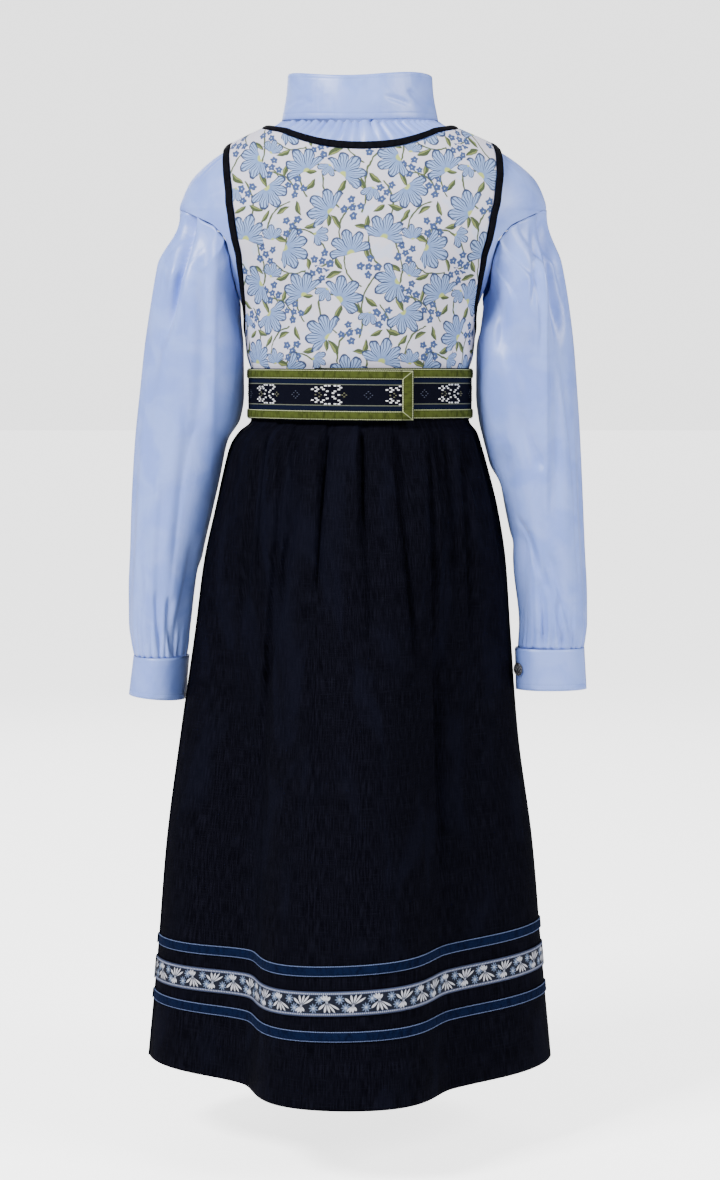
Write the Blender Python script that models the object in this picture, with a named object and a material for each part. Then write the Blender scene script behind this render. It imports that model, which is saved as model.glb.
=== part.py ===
"""A child's bunad costume: satin shirt, sleeveless print bodice, pleated skirt and woven belt.

The clothes are worn, so every piece keeps its hollow form round a general child's figure.
The wearer's left is +X, the photographed back is +Y, and the origin lies at shoulder height.
Every wall is built from pairs of points, one on its outer side and one on its inner side.
"""
import math
from collections import namedtuple

import bmesh
import bpy
from mathutils import Matrix, Vector

# Thicknesses and clearances, in metres
SHIRT_WALL = 0.0012
BODICE_WALL = 0.0015
BODICE_OUT = 0.0033
BINDING_WALL = 0.0021
BINDING_OUT = 0.0036
BINDING_WIDTH = 0.0065
SKIRT_WALL = 0.0014
RIBBON_WALL = 0.0008
SEAM_GAP = 0.0003
BINDING_GAP = 0.0012
RIBBON_GAP = 0.0007
SEAM_ANGLE = 0.18

# Heights of the main edges
COLLAR_FOOT = 0.0085
COLLAR_HEIGHT = 0.0390
COLLAR_RISE = 0.0034
WAIST_SEAM = -0.2225
BELT_TOP = -0.2018
BELT_HEIGHT = 0.0436
SHIRT_TAIL = -0.300

# The shirt's outer side at each height: middle and half width, and depth behind and in front
BodySection = namedtuple("BodySection", "z middle half_width back front")
BODY = [
    BodySection(0.0140, 0.0000, 0.0660, 0.0505, 0.0505),
    BodySection(0.0100, 0.0000, 0.0705, 0.0530, 0.0525),
    BodySection(0.0060, 0.0000, 0.0770, 0.0560, 0.0550),
    BodySection(0.0000, -0.0005, 0.0895, 0.0600, 0.0585),
    BodySection(-0.0060, -0.0010, 0.1030, 0.0630, 0.0610),
    BodySection(-0.0130, -0.0015, 0.1165, 0.0655, 0.0635),
    BodySection(-0.0200, -0.0020, 0.1280, 0.0680, 0.0655),
    BodySection(-0.0290, -0.0025, 0.1395, 0.0705, 0.0680),
    BodySection(-0.0400, -0.0030, 0.1500, 0.0735, 0.0710),
    BodySection(-0.0520, -0.0030, 0.1560, 0.0765, 0.0740),
    BodySection(-0.0640, -0.0025, 0.1595, 0.0785, 0.0765),
    BodySection(-0.0760, -0.0020, 0.1580, 0.0800, 0.0785),
    BodySection(-0.0900, -0.0018, 0.1500, 0.0810, 0.0800),
    BodySection(-0.1080, -0.0012, 0.1300, 0.0815, 0.0812),
    BodySection(-0.1300, -0.0006, 0.1120, 0.0808, 0.0818),
    BodySection(-0.1500, 0.0000, 0.1020, 0.0792, 0.0807),
    BodySection(-0.1720, 0.0000, 0.0976, 0.0768, 0.0787),
    BodySection(-0.1900, 0.0000, 0.0956, 0.0748, 0.0765),
    BodySection(-0.2040, 0.0000, 0.0915, 0.0720, 0.0738),
    BodySection(-0.2230, 0.0000, 0.0890, 0.0702, 0.0718),
    BodySection(-0.2460, 0.0000, 0.0880, 0.0695, 0.0710),
    BodySection(-0.3200, 0.0000, 0.0940, 0.0740, 0.0750),
]

# The seam between shirt and sleeve, from the shoulder tip down to the underarm:
# its angle behind the side line, in degrees, at each height
SleeveSeam = namedtuple("SleeveSeam", "z angle")
SLEEVE_SEAM = [
    SleeveSeam(-0.0640, 0.0),
    SleeveSeam(-0.0665, 14.0),
    SleeveSeam(-0.0730, 27.0),
    SleeveSeam(-0.0810, 36.0),
    SleeveSeam(-0.0920, 38.0),
    SleeveSeam(-0.1050, 32.0),
    SleeveSeam(-0.1180, 23.5),
    SleeveSeam(-0.1310, 14.0),
    SleeveSeam(-0.1410, 6.5),
    SleeveSeam(-0.1460, 0.0),
]

# The bodice's armhole edge: its angle behind the side line, in degrees, at each height
ArmholePoint = namedtuple("ArmholePoint", "z angle")
ARMHOLE_EDGE = [
    ArmholePoint(-0.0150, 12.0),
    ArmholePoint(-0.0220, 25.0),
    ArmholePoint(-0.0340, 35.0),
    ArmholePoint(-0.0480, 40.5),
    ArmholePoint(-0.0640, 43.5),
    ArmholePoint(-0.0800, 44.0),
    ArmholePoint(-0.0970, 40.5),
    ArmholePoint(-0.1160, 31.5),
    ArmholePoint(-0.1350, 21.5),
    ArmholePoint(-0.1500, 14.0),
    ArmholePoint(-0.1620, 7.5),
]
ARMHOLE_TOP = -0.0122
ARMHOLE_FOOT = -0.1690

# The bodice's neckline, from the shoulder to the middle: height at each distance from the middle
EdgePoint = namedtuple("EdgePoint", "z x")
NECK_EDGE_BACK = [
    EdgePoint(0.0010, 0.0660),
    EdgePoint(-0.0030, 0.0550),
    EdgePoint(-0.0068, 0.0430),
    EdgePoint(-0.0098, 0.0300),
    EdgePoint(-0.0116, 0.0155),
    EdgePoint(-0.0122, 0.0000),
]
NECK_EDGE_FRONT = [
    EdgePoint(-0.0020, 0.0690),
    EdgePoint(-0.0130, 0.0610),
    EdgePoint(-0.0250, 0.0500),
    EdgePoint(-0.0350, 0.0365),
    EdgePoint(-0.0420, 0.0200),
    EdgePoint(-0.0450, 0.0000),
]
NECK_EDGE_TOP = 0.0052

# The skirt's outer side: left and right reach, and depth behind and in front, at each height
SkirtSection = namedtuple("SkirtSection", "z left right back front")
SKIRT = [
    SkirtSection(-0.2225, 0.0945, 0.0945, 0.0762, 0.0765),
    SkirtSection(-0.2470, 0.0955, 0.0955, 0.0770, 0.0775),
    SkirtSection(-0.2570, 0.1062, 0.1024, 0.0845, 0.0850),
    SkirtSection(-0.2690, 0.1138, 0.1065, 0.0900, 0.0895),
    SkirtSection(-0.2900, 0.1197, 0.1126, 0.0960, 0.0940),
    SkirtSection(-0.3250, 0.1276, 0.1214, 0.1040, 0.1005),
    SkirtSection(-0.3700, 0.1373, 0.1287, 0.1130, 0.1075),
    SkirtSection(-0.4300, 0.1452, 0.1334, 0.1240, 0.1160),
    SkirtSection(-0.5200, 0.1584, 0.1408, 0.1400, 0.1290),
    SkirtSection(-0.6200, 0.1718, 0.1545, 0.1560, 0.1420),
    SkirtSection(-0.7200, 0.1802, 0.1632, 0.1700, 0.1550),
    SkirtSection(-0.8115, 0.1890, 0.1718, 0.1860, 0.1660),
]

# Knife pleats: angle round the waist and round the hem, depth, and where each one dies out.
# Angles start at the wearer's left and run round by the back.
Pleat = namedtuple("Pleat", "waist hem depth end")
PLEATS = [
    Pleat(0.0, 0.0, 0.0030, -0.36),
    Pleat(18.0, 21.0, 0.0040, -0.42),
    Pleat(42.0, 52.0, 0.0065, -0.56),
    Pleat(55.0, 65.0, 0.0050, -0.39),
    Pleat(73.0, 77.0, 0.0050, -0.37),
    Pleat(90.0, 93.0, 0.0052, -0.42),
    Pleat(108.0, 109.0, 0.0055, -0.43),
    Pleat(127.0, 124.0, 0.0060, -0.56),
    Pleat(147.0, 145.0, 0.0040, -0.35),
    Pleat(162.0, 163.0, 0.0045, -0.42),
    Pleat(180.0, 180.0, 0.0030, -0.36),
    Pleat(201.0, 199.0, 0.0045, -0.40),
    Pleat(225.0, 219.0, 0.0055, -0.52),
    Pleat(244.0, 240.0, 0.0045, -0.37),
    Pleat(264.0, 262.0, 0.0050, -0.42),
    Pleat(285.0, 284.0, 0.0045, -0.36),
    Pleat(305.0, 305.0, 0.0055, -0.50),
    Pleat(325.0, 324.0, 0.0050, -0.39),
    Pleat(343.0, 342.0, 0.0045, -0.42),
]
# One pleat's outline: share of its width at the waist and at the hem, and share of its depth
PleatPoint = namedtuple("PleatPoint", "waist hem depth")
PLEAT_OUTLINE = [
    PleatPoint(0.00, 0.00, 0.00),
    PleatPoint(0.12, 0.25, 1.00),
    PleatPoint(0.45, 0.50, 0.62),
    PleatPoint(0.74, 0.75, 0.26),
]

# Long folds that hollow the skirt towards the hem, each with its own slope on either side
Fold = namedtuple("Fold", "waist hem depth before after")
FOLDS = [
    Fold(36.0, 48.0, 0.041, 26.0, 15.5),
    Fold(131.0, 127.0, 0.033, 15.5, 29.0),
    Fold(228.0, 226.0, 0.028, 22.0, 10.0),
    Fold(268.0, 266.0, 0.010, 9.0, 9.0),
    Fold(312.0, 309.0, 0.030, 10.0, 22.0),
]
FOLD_START = -0.255
FOLD_FULL = -0.600
SIDE_FLATNESS = 0.25

# Ribbons on the skirt: upper edge at the middle, height, and slope across the skirt
Ribbon = namedtuple("Ribbon", "name top height slope material")
RIBBONS = [
    Ribbon("ribbon_velvet_upper", -0.6940, 0.0083, -0.045, "blue_velvet"),
    Ribbon("ribbon_woven", -0.7145, 0.0203, -0.040, "hem_ribbon"),
    Ribbon("ribbon_velvet_lower", -0.7475, 0.0083, -0.022, "blue_velvet"),
]

# Sleeves: outer and inner reach in X, middle and half depth in Y, at each height
SleeveSection = namedtuple("SleeveSection", "z outer inner middle half_depth")
SLEEVE_LEFT = [
    SleeveSection(-0.0640, 0.1590, 0.1030, 0.0000, 0.0500),
    SleeveSection(-0.0800, 0.1665, 0.1035, 0.0000, 0.0510),
    SleeveSection(-0.0990, 0.1738, 0.1038, 0.0000, 0.0520),
    SleeveSection(-0.1400, 0.1822, 0.1034, 0.0000, 0.0530),
    SleeveSection(-0.1820, 0.1882, 0.1016, -0.0010, 0.0520),
    SleeveSection(-0.2240, 0.1932, 0.1014, -0.0030, 0.0495),
    SleeveSection(-0.2450, 0.1957, 0.1046, -0.0040, 0.0480),
    SleeveSection(-0.2640, 0.1977, 0.1156, -0.0055, 0.0465),
    SleeveSection(-0.2850, 0.1993, 0.1210, -0.0065, 0.0450),
    SleeveSection(-0.3200, 0.2014, 0.1282, -0.0080, 0.0430),
    SleeveSection(-0.3600, 0.2030, 0.1372, -0.0100, 0.0405),
    SleeveSection(-0.4000, 0.2048, 0.1440, -0.0120, 0.0380),
    SleeveSection(-0.4250, 0.2048, 0.1474, -0.0130, 0.0360),
    SleeveSection(-0.4430, 0.2028, 0.1500, -0.0130, 0.0335),
    SleeveSection(-0.4545, 0.2005, 0.1524, -0.0120, 0.0305),
]
SLEEVE_RIGHT = [
    SleeveSection(-0.0640, 0.1625, 0.1030, 0.0000, 0.0500),
    SleeveSection(-0.0800, 0.1684, 0.1035, 0.0000, 0.0510),
    SleeveSection(-0.0990, 0.1732, 0.1038, 0.0000, 0.0520),
    SleeveSection(-0.1400, 0.1812, 0.1034, 0.0000, 0.0530),
    SleeveSection(-0.1820, 0.1868, 0.1016, 0.0000, 0.0520),
    SleeveSection(-0.2240, 0.1904, 0.1014, 0.0000, 0.0495),
    SleeveSection(-0.2450, 0.1920, 0.1036, 0.0000, 0.0480),
    SleeveSection(-0.2640, 0.1931, 0.1080, 0.0005, 0.0460),
    SleeveSection(-0.2850, 0.1942, 0.1135, 0.0010, 0.0440),
    SleeveSection(-0.3200, 0.1958, 0.1222, 0.0020, 0.0410),
    SleeveSection(-0.3600, 0.1976, 0.1292, 0.0030, 0.0375),
    SleeveSection(-0.4000, 0.1996, 0.1332, 0.0040, 0.0340),
    SleeveSection(-0.4250, 0.1998, 0.1350, 0.0050, 0.0315),
    SleeveSection(-0.4350, 0.1988, 0.1358, 0.0055, 0.0285),
    SleeveSection(-0.4455, 0.1972, 0.1366, 0.0060, 0.0250),
]
SLEEVE_WALL = 0.0012
CUFF_WALL = 0.0015
CUFF_HEIGHT = 0.0362
CUFF_OVERLAP = 34.0
CUFF_STEPS = 28
CUFF_FLARE = 0.0006
CUFF_LEAN = {"left": 0.0038, "right": 0.0016}
CUFF_START = {"left": 208.0, "right": 132.0}
CUFF_TILT = {"left": 0.09, "right": 0.0}
CUFF_LIFT = CUFF_WALL + 0.0005

BUTTON_RADIUS = 0.0058
BUTTON_HEIGHT = 0.0036

COLOURS = {
    "shirt_satin": ((0.36, 0.48, 0.82), 0.32, 0.0),
    "bodice_print": ((0.66, 0.68, 0.76), 0.80, 0.0),
    "black_velvet": ((0.006, 0.006, 0.009), 0.90, 0.0),
    "belt_woven": ((0.010, 0.013, 0.030), 0.75, 0.0),
    "green_velvet": ((0.13, 0.20, 0.035), 0.85, 0.0),
    "skirt_wool": ((0.010, 0.011, 0.018), 0.85, 0.0),
    "blue_velvet": ((0.020, 0.045, 0.130), 0.85, 0.0),
    "hem_ribbon": ((0.45, 0.46, 0.52), 0.60, 0.0),
    "button_metal": ((0.20, 0.20, 0.21), 0.35, 1.0),
}


def make_materials():
    """One Principled material for each finish."""
    made = {}
    for name, (colour, roughness, metallic) in COLOURS.items():
        material = bpy.data.materials.new(name)
        material.use_nodes = True
        shader = material.node_tree.nodes["Principled BSDF"]
        shader.inputs["Base Color"].default_value = (*colour, 1.0)
        shader.inputs["Roughness"].default_value = roughness
        shader.inputs["Metallic"].default_value = metallic
        made[name] = material
    return made


def read(table, z, column):
    """A column of a table of sections at any height, on a smooth curve through its rows."""
    rows = table if table[0].z > table[-1].z else table[::-1]
    if z >= rows[0].z:
        return getattr(rows[0], column)
    if z <= rows[-1].z:
        return getattr(rows[-1], column)
    i = next(k for k in range(len(rows) - 1) if rows[k + 1].z <= z)
    heights = [row.z for row in rows]
    values = [getattr(row, column) for row in rows]

    def slope(k):
        if k == 0 or k == len(rows) - 1:
            near = 1 if k == 0 else k
            return (values[near] - values[near - 1]) / (heights[near] - heights[near - 1])
        before = (values[k] - values[k - 1]) / (heights[k] - heights[k - 1])
        after = (values[k + 1] - values[k]) / (heights[k + 1] - heights[k])
        if before * after <= 0:
            return 0.0
        return 2 * before * after / (before + after)

    span = heights[i + 1] - heights[i]
    t = (z - heights[i]) / span
    return ((2 * t**3 - 3 * t**2 + 1) * values[i] + (t**3 - 2 * t**2 + t) * span * slope(i)
            + (3 * t**2 - 2 * t**3) * values[i + 1] + (t**3 - t**2) * span * slope(i + 1))


def ease(start, end, value):
    """0 at start, 1 at end, and a smooth turn between them."""
    t = min(max((value - start) / (end - start), 0.0), 1.0)
    return t * t * (3 - 2 * t)


def body_side(angle, z):
    """Point of the shirt's outer side, at an angle in degrees from the wearer's left by the back."""
    turn = math.radians(angle)
    depth = read(BODY, z, "back" if math.sin(turn) >= 0 else "front")
    x = read(BODY, z, "middle") + read(BODY, z, "half_width") * math.cos(turn)
    return Vector((x, depth * math.sin(turn), z))


def body_slopes(angle, z):
    """How the body's surface runs round it and up it, for each degree and each metre."""
    round_it = (body_side(angle + 0.5, z) - body_side(angle - 0.5, z))
    up_it = (body_side(angle, z + 0.001) - body_side(angle, z - 0.001)) / 0.002
    return round_it, up_it


def body_pair(angle, z, out=0.0, wall=SHIRT_WALL):
    """Outer and inner point of a wall that lies a distance out from the shirt."""
    round_it, up_it = body_slopes(angle, z)
    normal = round_it.cross(up_it).normalized()
    point = body_side(angle, z)
    return point + normal * out, point + normal * (out - wall)


def slide(angle, z, direction, distance):
    """Move along the body's surface and give the new angle and height."""
    round_it, up_it = body_slopes(angle, z)
    a, b, c = round_it.dot(round_it), round_it.dot(up_it), up_it.dot(up_it)
    p, q = round_it.dot(direction) * distance, up_it.dot(direction) * distance
    share = a * c - b * b
    return angle + (p * c - q * b) / share, z + (q * a - p * b) / share


def aside(curve, distance, closed):
    """The same curve on the body, moved to its right-hand side as seen from outside."""
    moved = []
    count = len(curve)
    for i, (angle, z) in enumerate(curve):
        before = curve[i - 1] if closed or i > 0 else curve[i]
        after = curve[(i + 1) % count] if closed or i < count - 1 else curve[i]
        along = body_side(*after) - body_side(*before)
        round_it, up_it = body_slopes(angle, z)
        normal = round_it.cross(up_it).normalized()
        moved.append(slide(angle, z, along.cross(normal).normalized(), distance))
    return moved


def even_curve(points, count, closed=False):
    """Points spread evenly along a smooth curve through the given ones on the body."""
    knots = list(points)
    total = len(knots)
    spans = total if closed else total - 1
    fine = []
    steps = 12
    for i in range(spans):
        if closed:
            p = [knots[(i + k) % total] for k in (-1, 0, 1, 2)]
        else:
            p = [knots[min(max(i + k, 0), total - 1)] for k in (-1, 0, 1, 2)]
        for s in range(steps):
            t = s / steps
            fine.append(tuple(
                0.5 * (2 * p[1][k] + (p[2][k] - p[0][k]) * t
                       + (2 * p[0][k] - 5 * p[1][k] + 4 * p[2][k] - p[3][k]) * t**2
                       + (3 * p[1][k] - p[0][k] - 3 * p[2][k] + p[3][k]) * t**3)
                for k in (0, 1)))
    fine.append(knots[0] if closed else knots[-1])
    reach = [0.0]
    for one, two in zip(fine, fine[1:]):
        reach.append(reach[-1] + (body_side(*two) - body_side(*one)).length)
    spread = []
    stops = count if closed else count + 1
    k = 0
    for s in range(stops):
        target = reach[-1] * s / count
        while k < len(reach) - 2 and reach[k + 1] < target:
            k += 1
        share = (target - reach[k]) / max(reach[k + 1] - reach[k], 1e-9)
        spread.append(tuple(fine[k][m] + (fine[k + 1][m] - fine[k][m]) * share for m in (0, 1)))
    return spread


def wall(name, patches, material, closed=False):
    """A closed solid from patches of rows of (outer, inner) points.

    A row may have twice as many steps as the next one. Points that meet are shared.
    """
    outer = []
    inner = []
    known = {}
    faces = []

    def number(pair):
        key = tuple(round(v, 6) for v in pair[0])
        if key not in known:
            known[key] = len(outer)
            outer.append(pair[0])
            inner.append(pair[1])
        return known[key]

    for rows in patches:
        numbers = [[number(pair) for pair in row] for row in rows]
        if closed:
            numbers = [row + row[:1] for row in numbers]
        for upper, lower in zip(numbers, numbers[1:]):
            above, below = len(upper) - 1, len(lower) - 1
            for i in range(min(above, below)):
                if above == below:
                    faces.append((upper[i], lower[i], lower[i + 1], upper[i + 1]))
                elif above > below:
                    a, b, c = upper[2 * i], upper[2 * i + 1], upper[2 * i + 2]
                    faces += [(a, lower[i], b), (b, lower[i], lower[i + 1]), (b, lower[i + 1], c)]
                else:
                    a, b, c = lower[2 * i], lower[2 * i + 1], lower[2 * i + 2]
                    faces += [(upper[i], a, b), (upper[i], b, upper[i + 1]), (upper[i + 1], b, c)]

    sides = {}
    for face in faces:
        for one, two in zip(face, face[1:] + face[:1]):
            sides[(one, two)] = True
    edge = [(one, two) for one, two in sides if (two, one) not in sides]

    half = len(outer)
    model = bmesh.new()
    points = [model.verts.new(point) for point in outer + inner]
    for face in faces:
        model.faces.new([points[k] for k in face])
        model.faces.new([points[k + half] for k in reversed(face)])
    for one, two in edge:
        model.faces.new([points[two], points[one], points[one + half], points[two + half]])
    return finish(name, model, material)


def finish(name, model, material):
    """Turn the built shape into a named object with its material, shaded smooth."""
    mesh = bpy.data.meshes.new(name)
    model.to_mesh(mesh)
    model.free()
    mesh.shade_smooth()
    mesh.set_sharp_from_angle(angle=math.radians(50))
    mesh.materials.append(MATERIALS[material])
    piece = bpy.data.objects.new(name, mesh)
    COSTUME.objects.link(piece)
    return piece


def spaced(start, end, steps):
    return [start + (end - start) * i / steps for i in range(steps + 1)]


# Shirt body: a back and two fronts, gathered into the collar and left long inside the skirt

GATHER_DEPTH = 0.0016
GATHERED_ROWS = [COLLAR_FOOT - 0.0006, 0.0000, -0.0090]
PLAIN_ROWS = [-0.0190, -0.0310, -0.0460]
UNDERARM_ROWS = [-0.1580]
TAIL_ROWS = [-0.1720, -0.2040, -0.2240, SHIRT_TAIL]
GATHER_STEPS = 20
PLAIN_STEPS = 10
TAIL_STEPS = 5


def seam_angle(z):
    """How far the shirt's side edge lies behind the side line."""
    if SLEEVE_SEAM[-1].z < z < SLEEVE_SEAM[0].z:
        return max(read(SLEEVE_SEAM, z, "angle"), SEAM_ANGLE)
    return SEAM_ANGLE


def collar_rise(angle):
    """How much higher the collar's foot lies at the sides than behind and in front."""
    return COLLAR_RISE * math.cos(math.radians(angle)) ** 2


def shirt_rows(start_side, end_side):
    """Rows of a quarter of the shirt, between two of the four lines at 0, 90, 180 and 270."""
    rows = []
    for level in GATHERED_ROWS + PLAIN_ROWS + [row.z for row in SLEEVE_SEAM] + UNDERARM_ROWS + TAIL_ROWS:
        gathered = level in GATHERED_ROWS
        steps = GATHER_STEPS if gathered else PLAIN_STEPS
        if level in TAIL_ROWS:
            steps = TAIL_STEPS
        fade = ease(GATHERED_ROWS[-1] - 0.008, GATHERED_ROWS[1], level)
        start, end = start_side(level), end_side(level)
        row = []
        for i, angle in enumerate(spaced(start, end, steps)):
            z = level + (collar_rise(angle) if level == GATHERED_ROWS[0] else 0.0)
            out, back = body_pair(angle, z)
            fold = (out - back).normalized() * (GATHER_DEPTH * fade if gathered and i % 2 else 0.0)
            row.append((out - fold, back - fold))
        rows.append(row)
    return rows


def build_shirt():
    middle_gap = 0.2
    back_left = shirt_rows(seam_angle, lambda z: 90.0)
    back_right = shirt_rows(lambda z: 90.0, lambda z: 180.0 - seam_angle(z))
    wall("shirt_back", [back_left, back_right], "shirt_satin")
    front_right = shirt_rows(lambda z: 180.0 + seam_angle(z), lambda z: 270.0 - middle_gap)
    wall("shirt_front_right", [front_right], "shirt_satin")
    front_left = shirt_rows(lambda z: 270.0 + middle_gap, lambda z: 360.0 - seam_angle(z))
    wall("shirt_front_left", [front_left], "shirt_satin")


# Collar and cuffs: straight bands whose ends lap over each other and are buttoned

def band_pair(centre, half_x, half_y, angle, z, out, thickness):
    """Outer and inner point of a band round an upright oval."""
    turn = math.radians(angle)
    normal = Vector((math.cos(turn) / half_x, math.sin(turn) / half_y, 0)).normalized()
    point = Vector((centre[0] + half_x * math.cos(turn), centre[1] + half_y * math.sin(turn), z))
    return point + normal * out, point + normal * (out - thickness)


def lap(turned, lift, ramp=55.0):
    """How far a wound band is lifted so that its end lies over its start."""
    return lift * ease(360.0 - ramp, 360.0, turned)


COLLAR_STEPS = 36
COLLAR_LAP = 17.0
COLLAR_LIFT = 0.0019
COLLAR_WALL = 0.0014


def collar_height(angle):
    """The collar's upper edge, higher and lower round the neck as the cloth stands."""
    turn = math.radians(angle)
    return COLLAR_HEIGHT - 0.0010 * math.cos(turn) ** 2 + 0.0015 * math.sin(3 * turn + 0.7)


CollarLevel = namedtuple("CollarLevel", "share half_x half_y dent")
COLLAR_LEVELS = [
    CollarLevel(1.00, 0.0626, 0.0492, 0.0),
    CollarLevel(0.55, 0.0652, 0.0508, -0.0012),
    CollarLevel(0.00, 0.0680, 0.0520, 0.0),
]


def collar_pair(turned, level):
    """A point of the collar: turned degrees from its hidden end, on one of its levels."""
    angle = 270.0 - COLLAR_LAP / 2 + turned
    out = lap(turned, COLLAR_LIFT) + level.dent * math.cos(math.radians(2 * angle))
    z = COLLAR_FOOT + collar_rise(angle) + collar_height(angle) * level.share
    return band_pair((0, 0), level.half_x, level.half_y, angle, z, out, COLLAR_WALL)


def build_collar():
    turns = spaced(0.0, 360.0 + COLLAR_LAP, COLLAR_STEPS)
    rows = [[collar_pair(turned, level) for turned in turns] for level in COLLAR_LEVELS]
    wall("shirt_collar", [rows], "shirt_satin")


def cuff_facts(table):
    """Middle and half axes of the oval that a sleeve ends in."""
    last = table[-1]
    centre = ((last.outer + last.inner) / 2, last.middle)
    return centre, (last.outer - last.inner) / 2, last.half_depth, last.z


def cuff_pair(side, turned, share):
    """A point of a cuff: turned degrees from its hidden end, at a share of its height."""
    table = SLEEVE_LEFT if side == "left" else SLEEVE_RIGHT
    centre, half_x, half_y, top = cuff_facts(table)
    angle = CUFF_START[side] + turned
    out = lap(turned, CUFF_LIFT) + CUFF_FLARE * share
    tilt = CUFF_TILT[side] * half_x * math.cos(math.radians(angle)) * share
    z = top - SEAM_GAP - CUFF_HEIGHT * share + tilt
    leaned = (centre[0] + CUFF_LEAN[side] * share, centre[1])
    outer, inner = band_pair(leaned, half_x, half_y, angle, z, out, CUFF_WALL)
    if side == "right":
        outer.x, inner.x = -outer.x, -inner.x
    return outer, inner


def build_cuff(side):
    turns = spaced(0.0, 360.0 + CUFF_OVERLAP, CUFF_STEPS)
    if side == "right":
        turns = turns[::-1]
    rows = [[cuff_pair(side, turned, share) for turned in turns] for share in (0.0, 1.0)]
    wall(f"cuff_{side}", [rows], "shirt_satin")


# Sleeves: one full piece each, pleated into the shoulder seam and gathered into the cuff

HEAD_STEPS = len(SLEEVE_SEAM) * 2 - 2
SLEEVE_LEVELS = [0.0, 0.045, 0.11, 0.20, 0.31, 0.44, 0.57, 0.69, 0.80, 0.885, 0.94, 0.975, 1.0]
GATHERED_FROM = 0.88
CUFF_GATHER = 0.0013
SleeveFold = namedtuple("SleeveFold", "angle width depth start end")
SLEEVE_FOLDS = [
    SleeveFold(42.0, 13.0, 0.0050, 0.02, 0.42),
    SleeveFold(78.0, 15.0, 0.0030, 0.10, 0.60),
    SleeveFold(20.0, 14.0, 0.0030, 0.40, 0.95),
    SleeveFold(318.0, 14.0, 0.0045, 0.02, 0.45),
    SleeveFold(282.0, 15.0, 0.0030, 0.20, 0.70),
]


def seam_point(turned, mirror):
    """A point of the sleeve seam: 0 at the shoulder tip, 90 behind, 180 at the underarm.

    The right sleeve is worked out on the left, with mirror as -1, and turned over later.
    """
    last = len(SLEEVE_SEAM) - 1
    place = turned / 180.0 * last if turned <= 180.0 else (360.0 - turned) / 180.0 * last
    low = min(int(place), last - 1)
    share = place - low
    z = SLEEVE_SEAM[low].z + (SLEEVE_SEAM[low + 1].z - SLEEVE_SEAM[low].z) * share
    angle = SLEEVE_SEAM[low].angle + (SLEEVE_SEAM[low + 1].angle - SLEEVE_SEAM[low].angle) * share
    angle = angle if turned <= 180.0 else -angle
    point = body_side(angle if mirror > 0 else 180.0 - angle, z)
    return Vector((point.x * mirror, point.y, point.z))


def sleeve_pair(table, mirror, turned, level):
    """Outer and inner point of a sleeve; level is 0 at the seam and 1 at the cuff."""
    head = seam_point(turned, mirror)
    end = table[-1].z
    top = head.z - 0.0004
    z = top + (end - top) * level
    turn = math.radians(turned)
    half_x = (read(table, z, "outer") - read(table, z, "inner")) / 2
    half_y = read(table, z, "half_depth")
    centre = Vector((read(table, z, "outer") - half_x, read(table, z, "middle"), 0))
    oval = centre + Vector((half_x * math.cos(turn), half_y * math.sin(turn), z))
    normal = Vector((math.cos(turn) / half_x, math.sin(turn) / half_y, 0)).normalized()
    away = ease(0.0, 0.12, level)
    start = Vector((head.x, head.y, z)) + Vector((0.0005, 0, 0))
    point = start.lerp(oval, away)
    for fold in SLEEVE_FOLDS:
        near = math.exp(-((turned - fold.angle) / fold.width) ** 2)
        middle = (fold.start + fold.end) / 2
        along = math.exp(-((level - middle) / (fold.end - fold.start) * 2.2) ** 2)
        point = point - normal * fold.depth * near * along * away
    return point, point - normal * SLEEVE_WALL


def build_sleeve(side, table):
    mirror = 1 if side == "left" else -1
    rows = []
    for level in SLEEVE_LEVELS:
        gathered = level >= GATHERED_FROM
        steps = HEAD_STEPS * 2 if gathered else HEAD_STEPS
        row = []
        for i in range(steps):
            outer, inner = sleeve_pair(table, mirror, 360.0 * i / steps, level)
            fold = (outer - inner).normalized() * CUFF_GATHER * ease(GATHERED_FROM, 0.99, level)
            if gathered and i % 2:
                outer, inner = outer - fold, inner - fold
            outer.x, inner.x = outer.x * mirror, inner.x * mirror
            row.append((outer, inner))
        rows.append(row if mirror > 0 else row[:1] + row[:0:-1])
    wall(f"sleeve_{side}", [rows], "shirt_satin", closed=True)


# Bodice: a back and two fronts over the shirt, with velvet binding on the neck and armholes

BODICE_STEPS = 5
ROW_SPACE = 0.0004
ARMHOLE_STEPS = 30
NECK_STEPS = 44


def armhole_loop():
    """The left armhole's edge, from the shoulder down the back and up the front."""
    back = [(0.0, ARMHOLE_TOP)]
    back += [(row.angle, row.z) for row in ARMHOLE_EDGE]
    back.append((0.0, ARMHOLE_FOOT))
    front = [(-angle, z) for angle, z in back[-2:0:-1]]
    return even_curve(back + front, ARMHOLE_STEPS, closed=True)


def neck_loop():
    """The neckline's edge, from the middle of the front by the left shoulder to the same place."""
    def placed(table, quarter):
        points = []
        for row in table:
            angle = math.degrees(math.asin(row.x / read(BODY, row.z, "half_width")))
            points.append((quarter - angle, row.z))
        return points

    back = placed(NECK_EDGE_BACK, 90.0)
    front = [(-angle, z) for angle, z in placed(NECK_EDGE_FRONT, 90.0)]
    left = front[::-1] + [(0.0, NECK_EDGE_TOP)] + back
    right = [(180.0 - angle, z) for angle, z in left[-2::-1]]
    return even_curve(left + right, NECK_STEPS)


def side_of(curve, table_side):
    """The part of a curve on the wearer's left, behind (+1) or in front (-1), from top to foot."""
    part = [(abs(angle) if abs(angle) > 1.0 else 0.0, z) for angle, z in curve
            if angle * table_side > -1.0 and abs(angle) <= 90.5]
    return sorted(part, key=lambda point: -point[1])


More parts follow.
